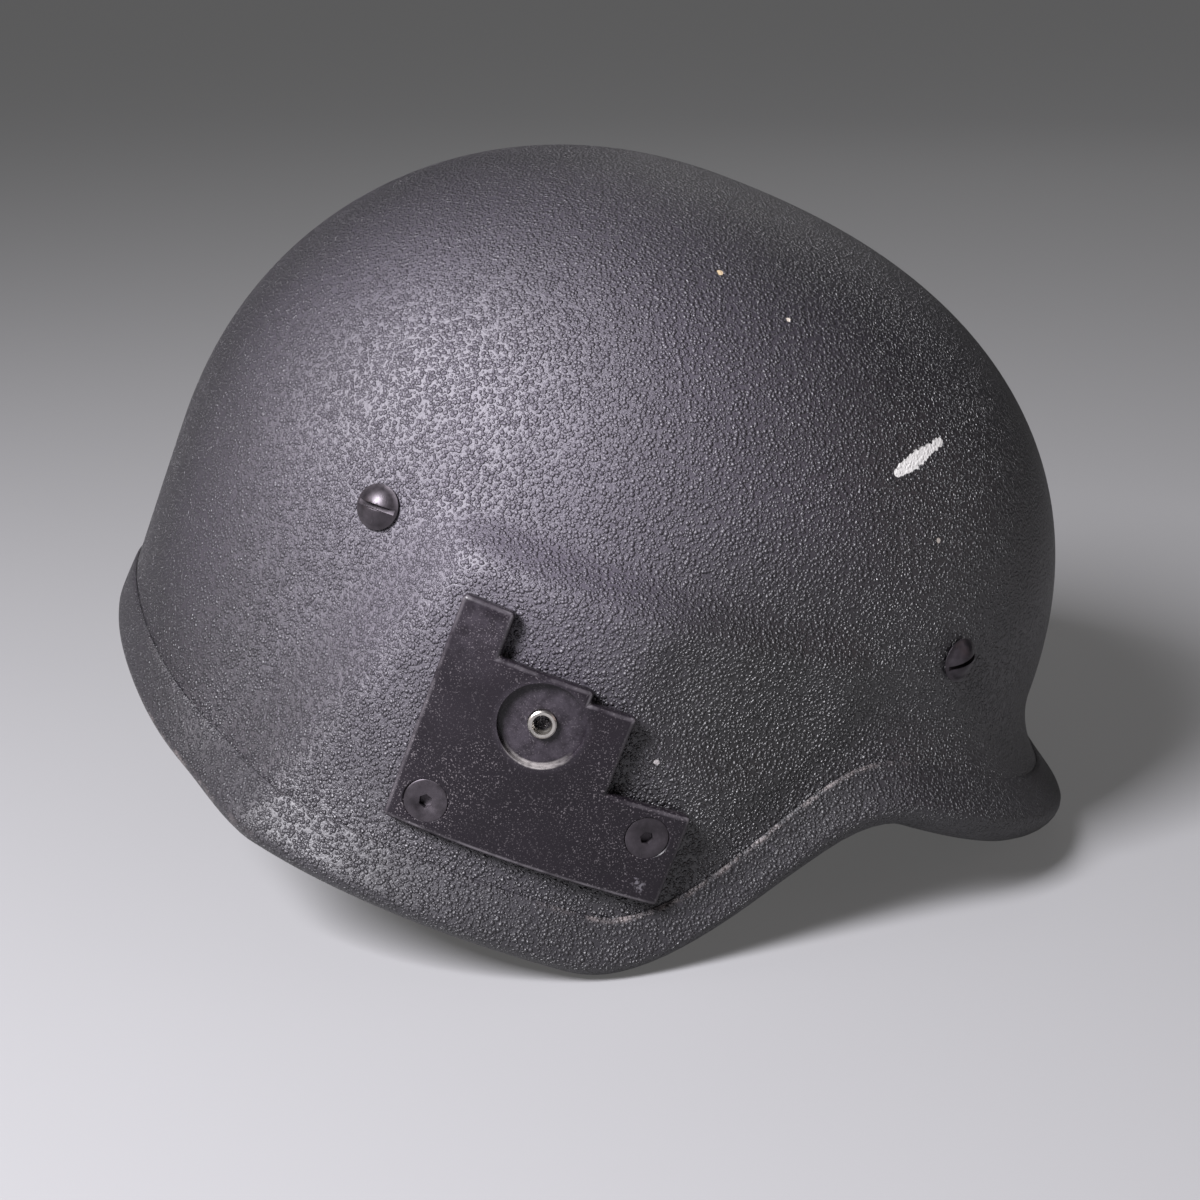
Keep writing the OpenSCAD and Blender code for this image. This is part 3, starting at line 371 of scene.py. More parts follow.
def bump(shader, height, strength, distance, before=None):
    """Relief from a height socket, in metres, on top of an earlier relief."""
    links = {"Height": height, "Normal": before} if before else {"Height": height}
    relief = add_node(shader, "ShaderNodeBump", links, Strength=strength, Distance=distance).outputs["Normal"]
    shader.id_data.links.new(relief, shader.inputs["Normal"])
    return relief


def paint_with(shader, colour, roughness=None):
    """Links a colour and a roughness to the main shader."""
    shader.id_data.links.new(colour, shader.inputs["Base Color"])
    if roughness:
        shader.id_data.links.new(roughness, shader.inputs["Roughness"])


def distance_to(place, point):
    """Distance from the shaded point to a fixed one, in metres."""
    return calculated("ShaderNodeVectorMath", {0: place, 1: point}, operation="DISTANCE").outputs["Value"]


def nearer_side(place, x, y, z):
    """Distance to the nearer of two points, one on each side of the helmet."""
    return sums("MINIMUM", distance_to(place, (x, -y, z)), distance_to(place, (x, y, z)))


def ripple(place, scale, depth):
    """Noise around zero, for ragged outlines."""
    return times(sums("SUBTRACT", noise(place, scale), 0.5), depth)


def grains(place, spacing):
    """Raised irregular grains, as a height from 0 to 1."""
    cells = add_node(place, "ShaderNodeTexVoronoi", {"Vector": place}, Scale=1 / spacing)
    return ramp(cells.outputs["Distance"], (0.16, 1.0), (0.32, 0.80), (0.47, 0.0))


def anti_skid(name, shade):
    """Coarse anti-skid paint: a satin coat crowded with raised grains of grit, with a painted highlight high
    on each rear flank and painted shade in each temple hollow and round the foot of each grain.
    """
    material, shader = new_material(name, shade, 0.45)
    shader.inputs["Specular IOR Level"].default_value = 0.95
    place = object_place(shader)
    drift = add_node(place, "ShaderNodeTexNoise", {"Vector": place}, Scale=1.1 / grit_spacing, Detail=2.0)
    inputs = {0: drift.outputs["Color"], 1: (grit_spacing * 0.42,) * 3, 2: place}
    bent = calculated("ShaderNodeVectorMath", inputs, operation="MULTIPLY_ADD").outputs[0]
    grit = sums("MAXIMUM", grains(bent, grit_spacing), times(grains(bent, grit_spacing * 0.62), 0.6))
    grit = times(grit, ramp(noise(place, 210.0), (0.32, 0.6), (0.62, 1.0)))
    fine = noise(place, 2.4 / grit_spacing, 2.0)
    height = plus(grit, times(fine, 0.22))
    cloud = noise(place, 20.0, 4.0)
    # Painted highlight: the coat is lighter round a spot high on each side towards the rear, where the lamp's
    # sheen falls, and darker away from it. The same mask makes the coat rougher there.
    from_painted_highlight = plus(nearer_side(place, -0.030, 0.102, 0.124), times(cloud, 0.05))
    painted_highlight = ramp(times(from_painted_highlight, 6.0), (0.24, 1.0), (0.80, 0.0))
    colour = mix(painted_highlight, tint(shade, 0.4), tint(shade, 2.2))
    # Painted shade: the coat is darkened in the hollow at each temple, in front of the ear bulge.
    hollow = ramp(times(nearer_side(place, 0.036, 0.113, 0.064), 10.0), (0.14, 0.15), (0.48, 1.0))
    colour = mix(1.0, colour, hollow, "MULTIPLY")
    # Painted shade: the coat is darkened round the foot of each grain of grit.
    skirt = ramp(grit, (0.02, 0.0), (0.12, 1.0), (0.30, 0.0))
    colour = mix(times(skirt, 0.6), colour, tint(shade, 0.2))
    dust = ramp(noise(place, 430.0, 2.0), (0.62, 0.0), (0.72, 1.0))
    dust = times(dust, ramp(cloud, (0.48, 0.0), (0.75, 0.4)))
    colour = mix(dust, colour, (0.10, 0.09, 0.11))
    gloss = plus(times(cloud, 0.20), times(fine, 0.16))
    gloss = plus(times(painted_highlight, 0.18), plus(gloss, 0.27))
    return material, shader, place, height, colour, gloss


# The coat of the shell: chips down to the pale fibre, the largest a ragged streak
paint, coat, place, height, colour, gloss = anti_skid("anti_skid_paint", (0.023, 0.0195, 0.027))
streak_from, streak_way = Vector((0.0591, -0.0842, 0.1365)), Vector((0.0103, 0.0128, 0.0096))
streak = ((0.0, 0.0012), (0.10, 0.0017), (0.22, 0.0021), (0.34, 0.0024), (0.46, 0.0024), (0.58, 0.0021),
          (0.68, 0.0018), (0.77, 0.0016), (0.86, 0.0015), (0.94, 0.0013), (1.0, 0.0011))
chips = [(streak_from + streak_way * share, radius, (0.60, 0.59, 0.57)) for share, radius in streak]
chips += [
    (Vector((0.0759, -0.0828, 0.1239)), 0.0008, (0.42, 0.38, 0.34)),
    (Vector((0.0212, -0.0729, 0.1615)), 0.0007, (0.45, 0.40, 0.34)),
    (Vector((0.0016, -0.0682, 0.1661)), 0.0010, (0.36, 0.27, 0.16)),
    (Vector((0.0228, -0.1205, 0.0562)), 0.0007, (0.30, 0.28, 0.28)),
]
ragged = ripple(place, 620.0, 1.2)
bare = 0.0
for centre, radius, chip_colour in chips:
    near = plus(sums("DIVIDE", distance_to(place, stance @ centre), radius), ragged)
    chip = ramp(near, (0.84, 1.0), (0.98, 0.0))
    colour = mix(chip, colour, chip_colour)
    bare = sums("MAXIMUM", bare, chip)
paint_with(coat, colour, mix(bare, gloss, (0.85, 0.85, 0.85)))
flaked = ramp(bare, (0.0, 1.0), (0.9, 0.12))
relief = bump(coat, times(height, flaked), 1.0, 0.00085)
bump(coat, bare, -0.7, 0.0005, relief)

inner_paint, inner_shader = new_material("inner_coat", (0.035, 0.036, 0.034), 0.6)
place = object_place(inner_shader)
cloud = noise(place, 35.0, 4.0)
colour = mix(cloud, (0.026, 0.027, 0.025), (0.050, 0.050, 0.046))
paint_with(inner_shader, colour, ramp(cloud, (0.3, 0.5), (0.7, 0.72)))
bump(inner_shader, noise(place, 600.0, 4.0), 0.4, 0.0003)

shell.data.materials.append(paint)
shell.data.materials.append(inner_paint)
apply_modifier(shell, "SOLIDIFY", thickness=shell_t, offset=-1, use_even_offset=True, material_offset=1)
place_mesh(shell, stance)
smooth(shell)
finish_piece(shell, "shell_wall", None, "shell_paint", "helmet", "shell")

# Edge trim: a rubber channel pushed over the edge all the way round and glued, with a round bead
# below and a thin lip on each side. It is swept along the rim in one closed ring, and painted
# over with the anti-skid coat, which has rubbed pale along the lip at the temples.
trim_w, trim_extra, trim_t = 0.0115, 0.003, 0.0013


def lip_width(angle):
    """Rise of the trim's outer lip above the rim."""
    part = drop_part(angle)
    return (trim_w + 4 * trim_extra * part * (1 - part)) / math.hypot(1, 0.82 * skirt_slope(angle))


inner_w = 0.0072
outer_leg = ((1.0, 0.0), (0.98, 0.10), (0.95, 0.28), (0.92, 0.42), (0.89, 0.50), (0.84, 0.55), (0.7, 0.66),
             (0.5, 0.8), (0.3, 0.92), (0.12, 1.0))
inner_leg = ((0.1, 1.0), (0.35, 1.0), (0.6, 1.0), (0.85, 1.0), (0.95, 0.9), (1.0, 0.5), (1.0, 0.2),
             (0.6, 0.0), (0.0, 0.0))
bead_steps = 10


def trim_ring(angle):
    """Closed profile of the trim at one angle, from the outer lip under the edge to the inner lip."""
    low, rise = rim(angle), lip_width(angle)
    out = outward(angle, low + 0.0001)
    down = -(outer_face(angle, low + 0.0005) - outer_face(angle, low)).normalized()
    middle = outer_face(angle, low) - out * shell_t / 2
    ring = [on_wall(angle, low + rise * up, trim_gap + trim_t * share) for up, share in outer_leg]
    for step in range(bead_steps + 1):
        turn = math.pi * step / bead_steps
        ring.append(middle + out * (shell_t / 2 + trim_gap + trim_t) * math.cos(turn)
                    + down * (trim_gap + bead_h) * math.sin(turn))
    inside = -shell_t - trim_gap
    ring += [on_wall(angle, low + inner_w * up, inside - trim_t * share) for up, share in inner_leg]
    ring += [outer_face(angle, low) + down * trim_gap * 0.9 - out * shell_t * share for share in (0.95, 0.05)]
    ring.append(on_wall(angle, low + rise * 0.5, trim_gap))
    return ring


def ring_mesh(rings):
    """Closed ring-shaped mesh through a closed chain of closed profiles."""
    count, size = len(rings), len(rings[0])
    bpy.ops.mesh.primitive_torus_add(major_segments=count, minor_segments=size, major_radius=0.1,
                                     minor_radius=0.01)
    piece = bpy.context.object
    for index, point in enumerate(point for ring in rings for point in ring):
        piece.data.vertices[index].co = point
    clean(piece)
    return piece


trim_columns = 240
trim = ring_mesh([trim_ring(360 * column / trim_columns) for column in range(trim_columns)])
ring_size = len(trim.data.vertices) // trim_columns
wear = trim.data.attributes.new("wear", "FLOAT", "POINT")
for vertex in trim.data.vertices:
    angle, index = 360 * (vertex.index // ring_size) / trim_columns, vertex.index % ring_size
    turn = turn_of(angle)[0]
    temple = max(0, 1 - abs(turn - 66) / 22)
    nape = max(0, 1 - abs(turn - 138) / 20)
    lip = 1.0 if index in (1, 2, 3) else 0.5 if index == 4 else 0
    bead = 1.0 if 11 <= index <= 14 else 0
    wear.data[vertex.index].value = max(lip * min(1, 1.6 * temple), 0.8 * bead * nape, 0.05 * lip)
place_mesh(trim, stance)
smooth(trim)

trim_paint, skin, place, height, colour, gloss = anti_skid("trim_paint", (0.021, 0.018, 0.025))
worn = add_node(skin, "ShaderNodeAttribute", attribute_name="wear").outputs["Fac"]
worn = times(worn, ramp(noise(place, 240.0, 5.0, 0.7), (0.44, 0.0), (0.62, 1.0)))
colour = mix(times(worn, 0.7), colour, (0.17, 0.145, 0.14))
paint_with(skin, colour, plus(gloss, 0.08))
skin.inputs["Specular IOR Level"].default_value = 0.8
bump(skin, height, 1.0, 0.00070)
finish_piece(trim, "trim_channel", trim_paint, "trim_rubber", "helmet", "edge_trim")

# Brackets: stepped plates for a visor, bent to the wall, painted black, with a turned recess for
# the pivot and countersinks for two screws. Each is cut flat, its edges broken, and then bent.
plate_t, plate_gap = 0.004, 0.0003
plate_out = plate_gap + plate_t
rear, bottom = -0.0339, 0.0218
plate_corners = ((0, 0), (0, 58.5), (12.6, 58.5), (12.6, 47.3), (35.9, 47.3), (35.9, 44.3),
                 (47.3, 44.3), (47.3, 24.3), (68.6, 24.3), (68.6, 0))
pivot_at, recess_r, recess_h, pivot_hole = (-0.0068, 0.0572), 0.0105, 0.0022, 0.00355
screw_places = ((-0.0256, 0.0293), (0.0262, 0.0384))
sink_r, sink_h, shank_r = 0.0056, 0.0027, 0.0028


def angle_at(x, z):
    """Angle on the right side at which the outer face has this x."""
    low, high = -175.0, -5.0
    for _ in range(22):
        middle = (low + high) / 2
        if outer_face(middle, z).x > x:
            high = middle
        else:
            low = middle
    return (low + high) / 2


def cut_with(piece, cutter):
    """Cuts a closed tool out of a piece and throws the tool away."""
    apply_modifier(piece, "BOOLEAN", object=cutter, operation="DIFFERENCE", solver="EXACT")
    bpy.data.objects.remove(cutter)


def break_edges(piece, width, degrees, segments=2):
    """Rounds the edges that are sharper than an angle."""
    apply_modifier(piece, "BEVEL", width=width, segments=segments, limit_method="ANGLE",
                   angle_limit=math.radians(degrees))


def merge_close(piece):
    """Merges what a cut or a bevel left very close, so that no sliver of a face stays."""
    choose(piece)
    bpy.ops.object.mode_set(mode="EDIT")
    bpy.ops.mesh.select_all(action="SELECT")
    bpy.ops.mesh.remove_doubles(threshold=0.00002)
    bpy.ops.mesh.dissolve_degenerate(threshold=0.00002)
    bpy.ops.object.mode_set(mode="OBJECT")


def round_tool(x, z, y0, y1, r0, r1, sides=48):
    """Closed cone or cylinder along y, from depth y0 with radius r0 to depth y1 with radius r1."""
    bpy.ops.mesh.primitive_cone_add(vertices=sides, radius1=r0, radius2=r1, depth=y1 - y0,
                                    location=(x, (y0 + y1) / 2, z), rotation=(-math.pi / 2, 0, 0))
    return bpy.context.object


mirror = Matrix.Scale(-1, 4, (0, 1, 0))


def copy_of(piece, name):
    """Another object with its own copy of a piece's mesh."""
    twin = bpy.data.objects.new(name, piece.data.copy())
    scene.collection.objects.link(twin)
    return twin


def mirrored(piece, name, slot, body, *cad_nodes):
    """The left-hand twin of a right-hand piece."""
    twin = copy_of(piece, name)
    place_mesh(twin, mirror)
    finish_piece(twin, name, None, slot, body, *cad_nodes)
    return twin


bpy.ops.mesh.primitive_circle_add(vertices=len(plate_corners), radius=0.01, fill_type="NGON")
plate = bpy.context.object
for vertex, (x, z) in zip(plate.data.vertices, plate_corners):
    vertex.co = (rear + x / 1000, plate_gap, bottom + z / 1000)
bpy.ops.object.mode_set(mode="EDIT")
bpy.ops.mesh.select_all(action="SELECT")
bpy.ops.mesh.extrude_region_move(TRANSFORM_OT_translate={"value": (0, plate_t, 0)})
bpy.ops.mesh.select_all(action="SELECT")
bpy.ops.mesh.normals_make_consistent(inside=False)
bpy.ops.mesh.select_all(action="DESELECT")
bpy.ops.object.mode_set(mode="OBJECT")
for edge in plate.data.edges:
    a, b = (plate.data.vertices[index].co for index in edge.vertices)
    edge.select = abs(a.y - b.y) > 0.001
bpy.ops.object.mode_set(mode="EDIT")
bpy.ops.mesh.bevel(offset=0.0012, segments=4)
bpy.ops.object.mode_set(mode="OBJECT")
break_edges(plate, 0.0006, 50, 3)
cut_with(plate, round_tool(*pivot_at, plate_out - recess_h, plate_out + 0.002, recess_r, recess_r, 72))
cut_with(plate, round_tool(*pivot_at, -0.002, plate_out + 0.002, pivot_hole, pivot_hole))
for x, z in screw_places:
    cut_with(plate, round_tool(x, z, -0.002, plate_out + 0.002, shank_r, shank_r))
    cut_with(plate, round_tool(x, z, plate_out - sink_h, plate_out + 0.0003, shank_r, sink_r + 0.0002, 72))
break_edges(plate, 0.00015, 42)
bpy.ops.object.mode_set(mode="EDIT")
plate_cuts = ((Vector((1, 0, 0)), rear, 0.0686, 30), (Vector((0, 0, 1)), bottom, 0.0585, 26))
for across, start, length, steps in plate_cuts:
    for step in range(1, steps):
        bpy.ops.mesh.select_all(action="SELECT")
        bpy.ops.mesh.bisect(plane_co=across * (start + length * step / steps), plane_no=across)
bpy.ops.object.mode_set(mode="OBJECT")
merge_close(plate)
# Edge rub and painted highlight: the broken edges of the plate's face are marked lighter. The mark is full
# where they face up towards the light and weaker elsewhere.
edge_rub_and_highlight = plate.data.attributes.new("edge_rub_and_highlight", "FLOAT", "POINT")
for vertex in plate.data.vertices:
    x, depth_at, z = vertex.co
    rub_share_with_top_highlight = 1.0 if vertex.normal.z > 0.3 else 0.4
    edge_rub_and_highlight.data[vertex.index].value = rub_share_with_top_highlight if plate_out - 0.0005 < depth_at < plate_out - 0.00002 else 0.0
    vertex.co = on_wall(angle_at(x, z), z, depth_at)
plate.data.flip_normals()
place_mesh(plate, stance)
smooth(plate, 28)


def plate_point(x, z, depth=plate_out):
    """Point of the mounted plate from its place on the flat one."""
    return stance @ on_wall(angle_at(x, z), z, depth)


def round_spot(place, spot, *stops):
    """Grey by the distance from a spot, in units of 20 millimetres."""
    return ramp(times(distance_to(place, spot), 50.0), *stops)


satin, satin_shader = new_material("bracket_paint", (0.010, 0.008, 0.011), 0.3)
place = object_place(satin_shader)
satin_shader.inputs["Specular IOR Level"].default_value = 0.3
cloud = noise(place, 45.0, 5.0)
specks = ramp(noise(place, 2400.0, 2.0), (0.60, 0.0), (0.66, 1.0))
specks = times(specks, ramp(noise(place, 60.0), (0.40, 0.25), (0.62, 1.0)))
shade = mix(cloud, (0.004, 0.003, 0.0045), (0.012, 0.009, 0.013))
shade = mix(times(specks, 0.5), shade, (0.22, 0.20, 0.21))
# Rubbed edges, with a painted highlight on the upper ones.
edge = add_node(place, "ShaderNodeAttribute", attribute_name="edge_rub_and_highlight").outputs["Fac"]
shade = mix(times(edge, ramp(noise(place, 160.0), (0.36, 0.1), (0.58, 0.8))), shade, (0.13, 0.12, 0.13))
hub = plate_point(*pivot_at, plate_out - 0.0008)
recess_dust_and_highlight_spot = plate_point(pivot_at[0] + 0.0015, pivot_at[1] - 0.0102, plate_out - 0.0008)
arm_end = plate_point(rear + 0.006, bottom + 0.054)
# Lighter cloudy patches towards the end of the arm and over the floor of the recess.
pale_arm_end_and_recess = round_spot(place, arm_end, (0.1, 0.42), (0.8, 0.0))
pale_arm_end_and_recess = sums("MAXIMUM", pale_arm_end_and_recess, round_spot(place, hub, (0.46, 0.6), (0.62, 0.0)))
pale_arm_end_and_recess = times(pale_arm_end_and_recess, ramp(noise(place, 320.0, 5.0, 0.7), (0.35, 0.15), (0.65, 1.0)))
shade = mix(pale_arm_end_and_recess, shade, (0.055, 0.047, 0.058))
# Dust and painted highlight: a pale crescent, broken up by noise, on the lower edge of the recess, where its
# wall catches the light.
ring = round_spot(place, hub, (0.49, 0.0), (0.51, 1.0), (0.535, 1.0), (0.55, 0.0))
ring = times(ring, round_spot(place, recess_dust_and_highlight_spot, (0.1, 0.75), (0.5, 0.0)))
ring = times(ring, ramp(noise(place, 700.0, 4.0), (0.30, 0.2), (0.55, 1.0)))
shade = mix(ring, shade, (0.33, 0.31, 0.30))
smear = sums("DIVIDE", distance_to(place, plate_point(0.0285, 0.0262)), 0.0019)
smear = ramp(plus(smear, ripple(place, 1100.0, 3.6)), (0.2, 0.45), (0.7, 0.0))
paint_with(satin_shader, mix(smear, shade, (0.20, 0.19, 0.21)), ramp(cloud, (0.3, 0.27), (0.7, 0.40)))
bump(satin_shader, noise(place, 500.0, 4.0), 0.28, 0.0002)
finish_piece(plate, "bracket_plate_right", satin, "bracket_paint", "helmet", "bracket_right")
mirrored(plate, "bracket_plate_left", "bracket_paint", "helmet", "bracket_left")

# Fasteners: countersunk screws with a hexagon socket, slotted domed screws, and the turned
# threaded sleeve in the recess. Each is turned as rings and set square to the wall.


def lofted(rings):
    """Closed mesh through a chain of closed rings of points, filled at both ends. Its UV map is in
    millimetres, along the chain and around the rings."""
    count, size = len(rings), len(rings[0])
    along, around = [0.0], [0.0]
    for first, second in zip(rings, rings[1:]):
        along.append(along[-1] + 1000 * sum((a - b).length for a, b in zip(first, second)) / size)
    middle = rings[count // 2]
    for index in range(size):
        around.append(around[-1] + 1000 * (middle[index] - middle[(index + 1) % size]).length)
    bpy.ops.mesh.primitive_grid_add(x_subdivisions=count - 1, y_subdivisions=size, size=1)
    piece = bpy.context.object
    layer = piece.data.uv_layers.active.data
    for loop in piece.data.loops:
        layer[loop.index].uv = (along[loop.vertex_index % count], around[loop.vertex_index // count])
    for vertex in piece.data.vertices:
        vertex.co = rings[vertex.index % count][(vertex.index // count) % size]
    clean(piece, 0.000001, fill=True)
    return piece


def polar(turn, r=1.0, z=0.0):
    """Point at an angle, in radians, and a radius about z."""
    return Vector((r * math.cos(turn), r * math.sin(turn), z))


def turned(profile, sides=64):
    """Turned piece, square to z, from a profile of radii and heights."""
    return lofted([[polar(math.tau * k / sides, r, h) for k in range(sides)] for r, h in profile])


def wall_frame(angle, z):
    """Matrix that puts a piece on the outer face, its z outward and its y up the wall."""
    w = outward(angle, z)
    u = Vector((0, 0, 1)).cross(w).normalized()
    matrix = Matrix((u, w.cross(u), w)).transposed().to_4x4()
    matrix.translation = outer_face(angle, z)
    return matrix


def joined(pieces):
    """One object from several."""
    bpy.ops.object.select_all(action="DESELECT")
    for piece in pieces:
        piece.select_set(True)
    bpy.context.view_layer.objects.active = pieces[0]
    bpy.ops.object.join()
    return pieces[0]


def metal(name, shade, roughness, scratches, metallic=1.0):
    """Machined metal with a cloudy polish and fine scratches."""
    material, shader = new_material(name, shade, roughness, metallic)
    place = object_place(shader)
    cloud = noise(place, 240.0, 4.0)
    line = noise(object_place(shader, (3000, 300, 900)), 1.0, 3.0, 0.7)
    colour = mix(ramp(cloud, (0.35, 0.0), (0.65, 1.0)), tint(shade, 0.55), shade)
    colour = mix(ramp(line, (0.60, 0.0), (0.72, scratches)), colour, tint(shade, 1.5))
    paint_with(shader, colour, ramp(cloud, (0.3, roughness * 0.7), (0.7, roughness * 1.4)))
    bump(shader, line, 0.25, 0.00008)
    return material


steel = metal("bare_steel", (0.62, 0.59, 0.55), 0.28, 0.5)
black = metal("black_steel", (0.060, 0.052, 0.060), 0.36, 0.7, 0.7)

head_out, head_r, head_h = plate_out - 0.0001, 0.00545, 0.0027
tip_h = -shell_t + 0.001
profile = ((0.0, tip_h), (0.0025, tip_h), (0.0025, head_out - head_h), (head_r - 0.0002, head_out - 0.0003),
           (head_r - 0.0001, head_out - 0.00008), (head_r - 0.0004, head_out), (0.0030, head_out),
           (0.0027, head_out - 0.0001), (0.0, head_out - 0.0001))
countersunk = []
for (x, z), socket_turn in zip(screw_places, (11, 34)):
    screw = turned(profile)
    bpy.ops.mesh.primitive_cylinder_add(vertices=6, radius=0.00173, depth=0.004, location=(0, 0, head_out),
                                        rotation=(0, 0, math.radians(socket_turn)))
    cut_with(screw, bpy.context.object)
    break_edges(screw, 0.00012, 50)
    place_mesh(screw, wall_frame(angle_at(x, z), z))
    countersunk.append(screw)
screws = joined(countersunk)
place_mesh(screws, stance)
smooth(screws, 35)
finish_piece(screws, "bracket_screw_pair_right", black, "black_steel", "helmet", "bracket_screws_right")
mirrored(screws, "bracket_screw_pair_left", "black_steel", "helmet", "bracket_screws_left")

dome_r, dome_h, dome_seat = 0.0057, 0.0030, 0.0002
ball_r = (dome_r * dome_r + dome_h * dome_h) / (2 * dome_h)
profile = [(0.0, tip_h), (0.002, tip_h), (0.002, dome_seat), (dome_r - 0.0002, dome_seat),
           (dome_r, dome_seat + 0.0002), (dome_r, dome_seat + 0.0005)]
for step in range(1, 9):
    lean = math.asin(dome_r / ball_r) * (1 - step / 8)
    profile.append((ball_r * math.sin(lean), dome_seat + dome_h - ball_r * (1 - math.cos(lean))))
domed = []
for angle, z, slot_turn in ((-122, 0.087, 6), (-40.4, 0.096, 32)):
    screw = turned(profile)
    bpy.ops.mesh.primitive_cube_add(size=1, location=(0, 0, dome_seat + dome_h - 0.0002),
                                    rotation=(0, 0, math.radians(slot_turn)))
    slot_tool = bpy.context.object
    slot_tool.scale = (0.016, 0.0013, 0.0040)
    cut_with(screw, slot_tool)
    break_edges(screw, 0.00018, 40)
    merge_close(screw)
    place_mesh(screw, wall_frame(angle, z))
    twin = copy_of(screw, "twin")
    place_mesh(twin, mirror)
    domed += [screw, twin]
screws = joined(domed)
place_mesh(screws, stance)
smooth(screws, 35)
finish_piece(screws, "liner_screw_heads", black, "black_steel", "helmet", "liner_screws")

sleeve_top, seat, thread_steps = plate_out - recess_h + 0.0016, -shell_t - 0.0005, 34
profile = [(0.00245, sleeve_top), (0.0031, sleeve_top), (0.00345, sleeve_top - 0.0003), (0.00345, seat),
           (0.0079, seat), (0.0080, seat - 0.0001), (0.0080, seat - 0.0013), (0.0078, seat - 0.0014),
           (0.0024, seat - 0.0014)]
for step in range(thread_steps):
    share = step / thread_steps
    profile.append((0.00212 if step % 2 else 0.00235, seat - 0.0010 + (sleeve_top - seat + 0.0006) * share))
sleeve = ring_mesh([[polar(math.tau * k / 48, r, h) for r, h in profile] for k in range(48)])
place_mesh(sleeve, stance @ wall_frame(angle_at(*pivot_at), pivot_at[1]))
smooth(sleeve, 35)
finish_piece(sleeve, "pivot_sleeve_right", steel, "bare_steel", "helmet", "pivot_nut_right")
mirrored(sleeve, "pivot_sleeve_left", "bare_steel", "helmet", "pivot_nut_left")

# Steel fittings inside the shell: sleeve nuts, hangers, anchor plates and the eyelet plates of
# the strap. Their solids show as they are, with dull plating.


def carried(material, slot, width, *names):
    """CAD nodes that show as they are: their material and lightly broken edges. The slot is not used."""
    for name in names:
        node = nodes[name]
        node.data.materials.clear()
        node.data.materials.append(material)
        node.modifiers.new("Weld", "WELD").merge_threshold = 0.000005
        edges = node.modifiers.new("Bevel", "BEVEL")
        edges.width, edges.segments = width, 2
        edges.limit_method, edges.angle_limit = "ANGLE", math.radians(38)
        edges.harden_normals = True


plated = metal("anchor_steel", (0.36, 0.35, 0.34), 0.42, 0.4)
carried(plated, "anchor_steel", 0.0002, "bracket_nuts", "liner_nuts", "liner_hangers", "strap_anchor_right",
        "strap_anchor_left", "strap_end_right", "strap_end_left")

# Headband, nape yoke and buckles: moulded plastic with a fine spark grain and rubbed edges.


def moulded(name, shade, roughness, grain_scale):
    """Moulded plastic with scuffs along its height."""
    material, shader = new_material(name, shade, roughness)
    place = object_place(shader)
    cloud = noise(place, 55.0, 4.0)
    scuff = ramp(noise(object_place(shader, (900, 900, 140)), 1.0, 4.0, 0.7), (0.60, 0.0), (0.70, 1.0))
    scuff = times(scuff, ramp(cloud, (0.45, 0.0), (0.7, 0.6)))
    colour = mix(scuff, mix(cloud, tint(shade, 0.7), tint(shade, 1.3)), tint(shade, 2.8, 0.02))
    paint_with(shader, colour, ramp(cloud, (0.3, roughness * 0.8), (0.7, roughness * 1.25)))
    bump(shader, noise(place, grain_scale), 0.35, 0.00018)
    return material


band_plastic = moulded("band_plastic", (0.036, 0.036, 0.040), 0.5, 1500.0)
buckle_plastic = moulded("buckle_plastic", (0.022, 0.022, 0.025), 0.38, 2200.0)
carried(band_plastic, "band_plastic", 0.0004, "headband", "nape_yoke")
carried(buckle_plastic, "buckle_plastic", 0.0005, "buckle_socket", "buckle_plug", "strap_slider")

# Sweatband and nape pad: leather over soft foam on the inside of the headband and of the yoke,
# blown up by a short cloth simulation, with a row of stitches along each edge.


def puffed(piece, limit, held=()):
    """Blows a stuffed piece up by a short cloth simulation, sewn down at the held points, and
    keeps every point within a limit of where it was."""
    start = [vertex.co.copy() for vertex in piece.data.vertices]
    sewn = piece.vertex_groups.new(name="sewn")
    sewn.add(list(held), 1.0, "REPLACE")
    cloth = piece.modifiers.new("Cloth", "CLOTH")
    cloth.settings.vertex_group_mass = "sewn"
    cloth.settings.use_pressure = True
    cloth.settings.uniform_pressure_force = 4
    cloth.settings.effector_weights.gravity = 0
    for moment in range(1, 21):
        scene.frame_set(moment)
    blown = piece.evaluated_get(bpy.context.evaluated_depsgraph_get())
    ends = [vertex.co.copy() for vertex in blown.data.vertices]
    piece.modifiers.remove(cloth)
    scene.frame_set(1)
    for vertex, first, last in zip(piece.data.vertices, start, ends):
        step = last - first
        vertex.co = first + step * min(1, limit / max(step.length, 0.000001))
    apply_modifier(piece, "SUBSURF", levels=1)
    smooth(piece)


def cushion(oval, turns, low, high, rim_t, swell, end_power, flat):
    """Padded band inside an oval, with a rolled hem above and below its sewn lines. The oval is the
    x of its centre and its reaches along x and y."""
    centre, reach, half = oval
    rings, seams = [], []
    for step in range(73):
        share = step / 72
        turn = math.radians(turns[0] + (turns[1] - turns[0]) * share)
        part = flat + (1 - flat) * max(0, 1 - abs(2 * share - 1) ** end_power) ** 0.5
        section = [(0, high + (low - high) * k / 8) for k in range(9)]
        for k in range(1, 24):
            thick = rim_t + swell * math.sin(math.pi * k / 24) ** 0.6
            section.append((thick * part * (0.72 if k in (3, 21) else 1), low + (high - low) * k / 24))
        ring = []
        for depth, z in section:
            along, across = reach - 0.0002 - depth, half - 0.0002 - depth
            ring.append(stance @ Vector((centre + along * math.cos(turn), across * math.sin(turn), z)))
        rings.append(ring)
        seams += [ring[11], ring[29]]
    piece = lofted(rings)
    held = [vertex.index for vertex in piece.data.vertices
            if min((vertex.co - seam).length for seam in seams) < 0.0004]
    return piece, held, seams


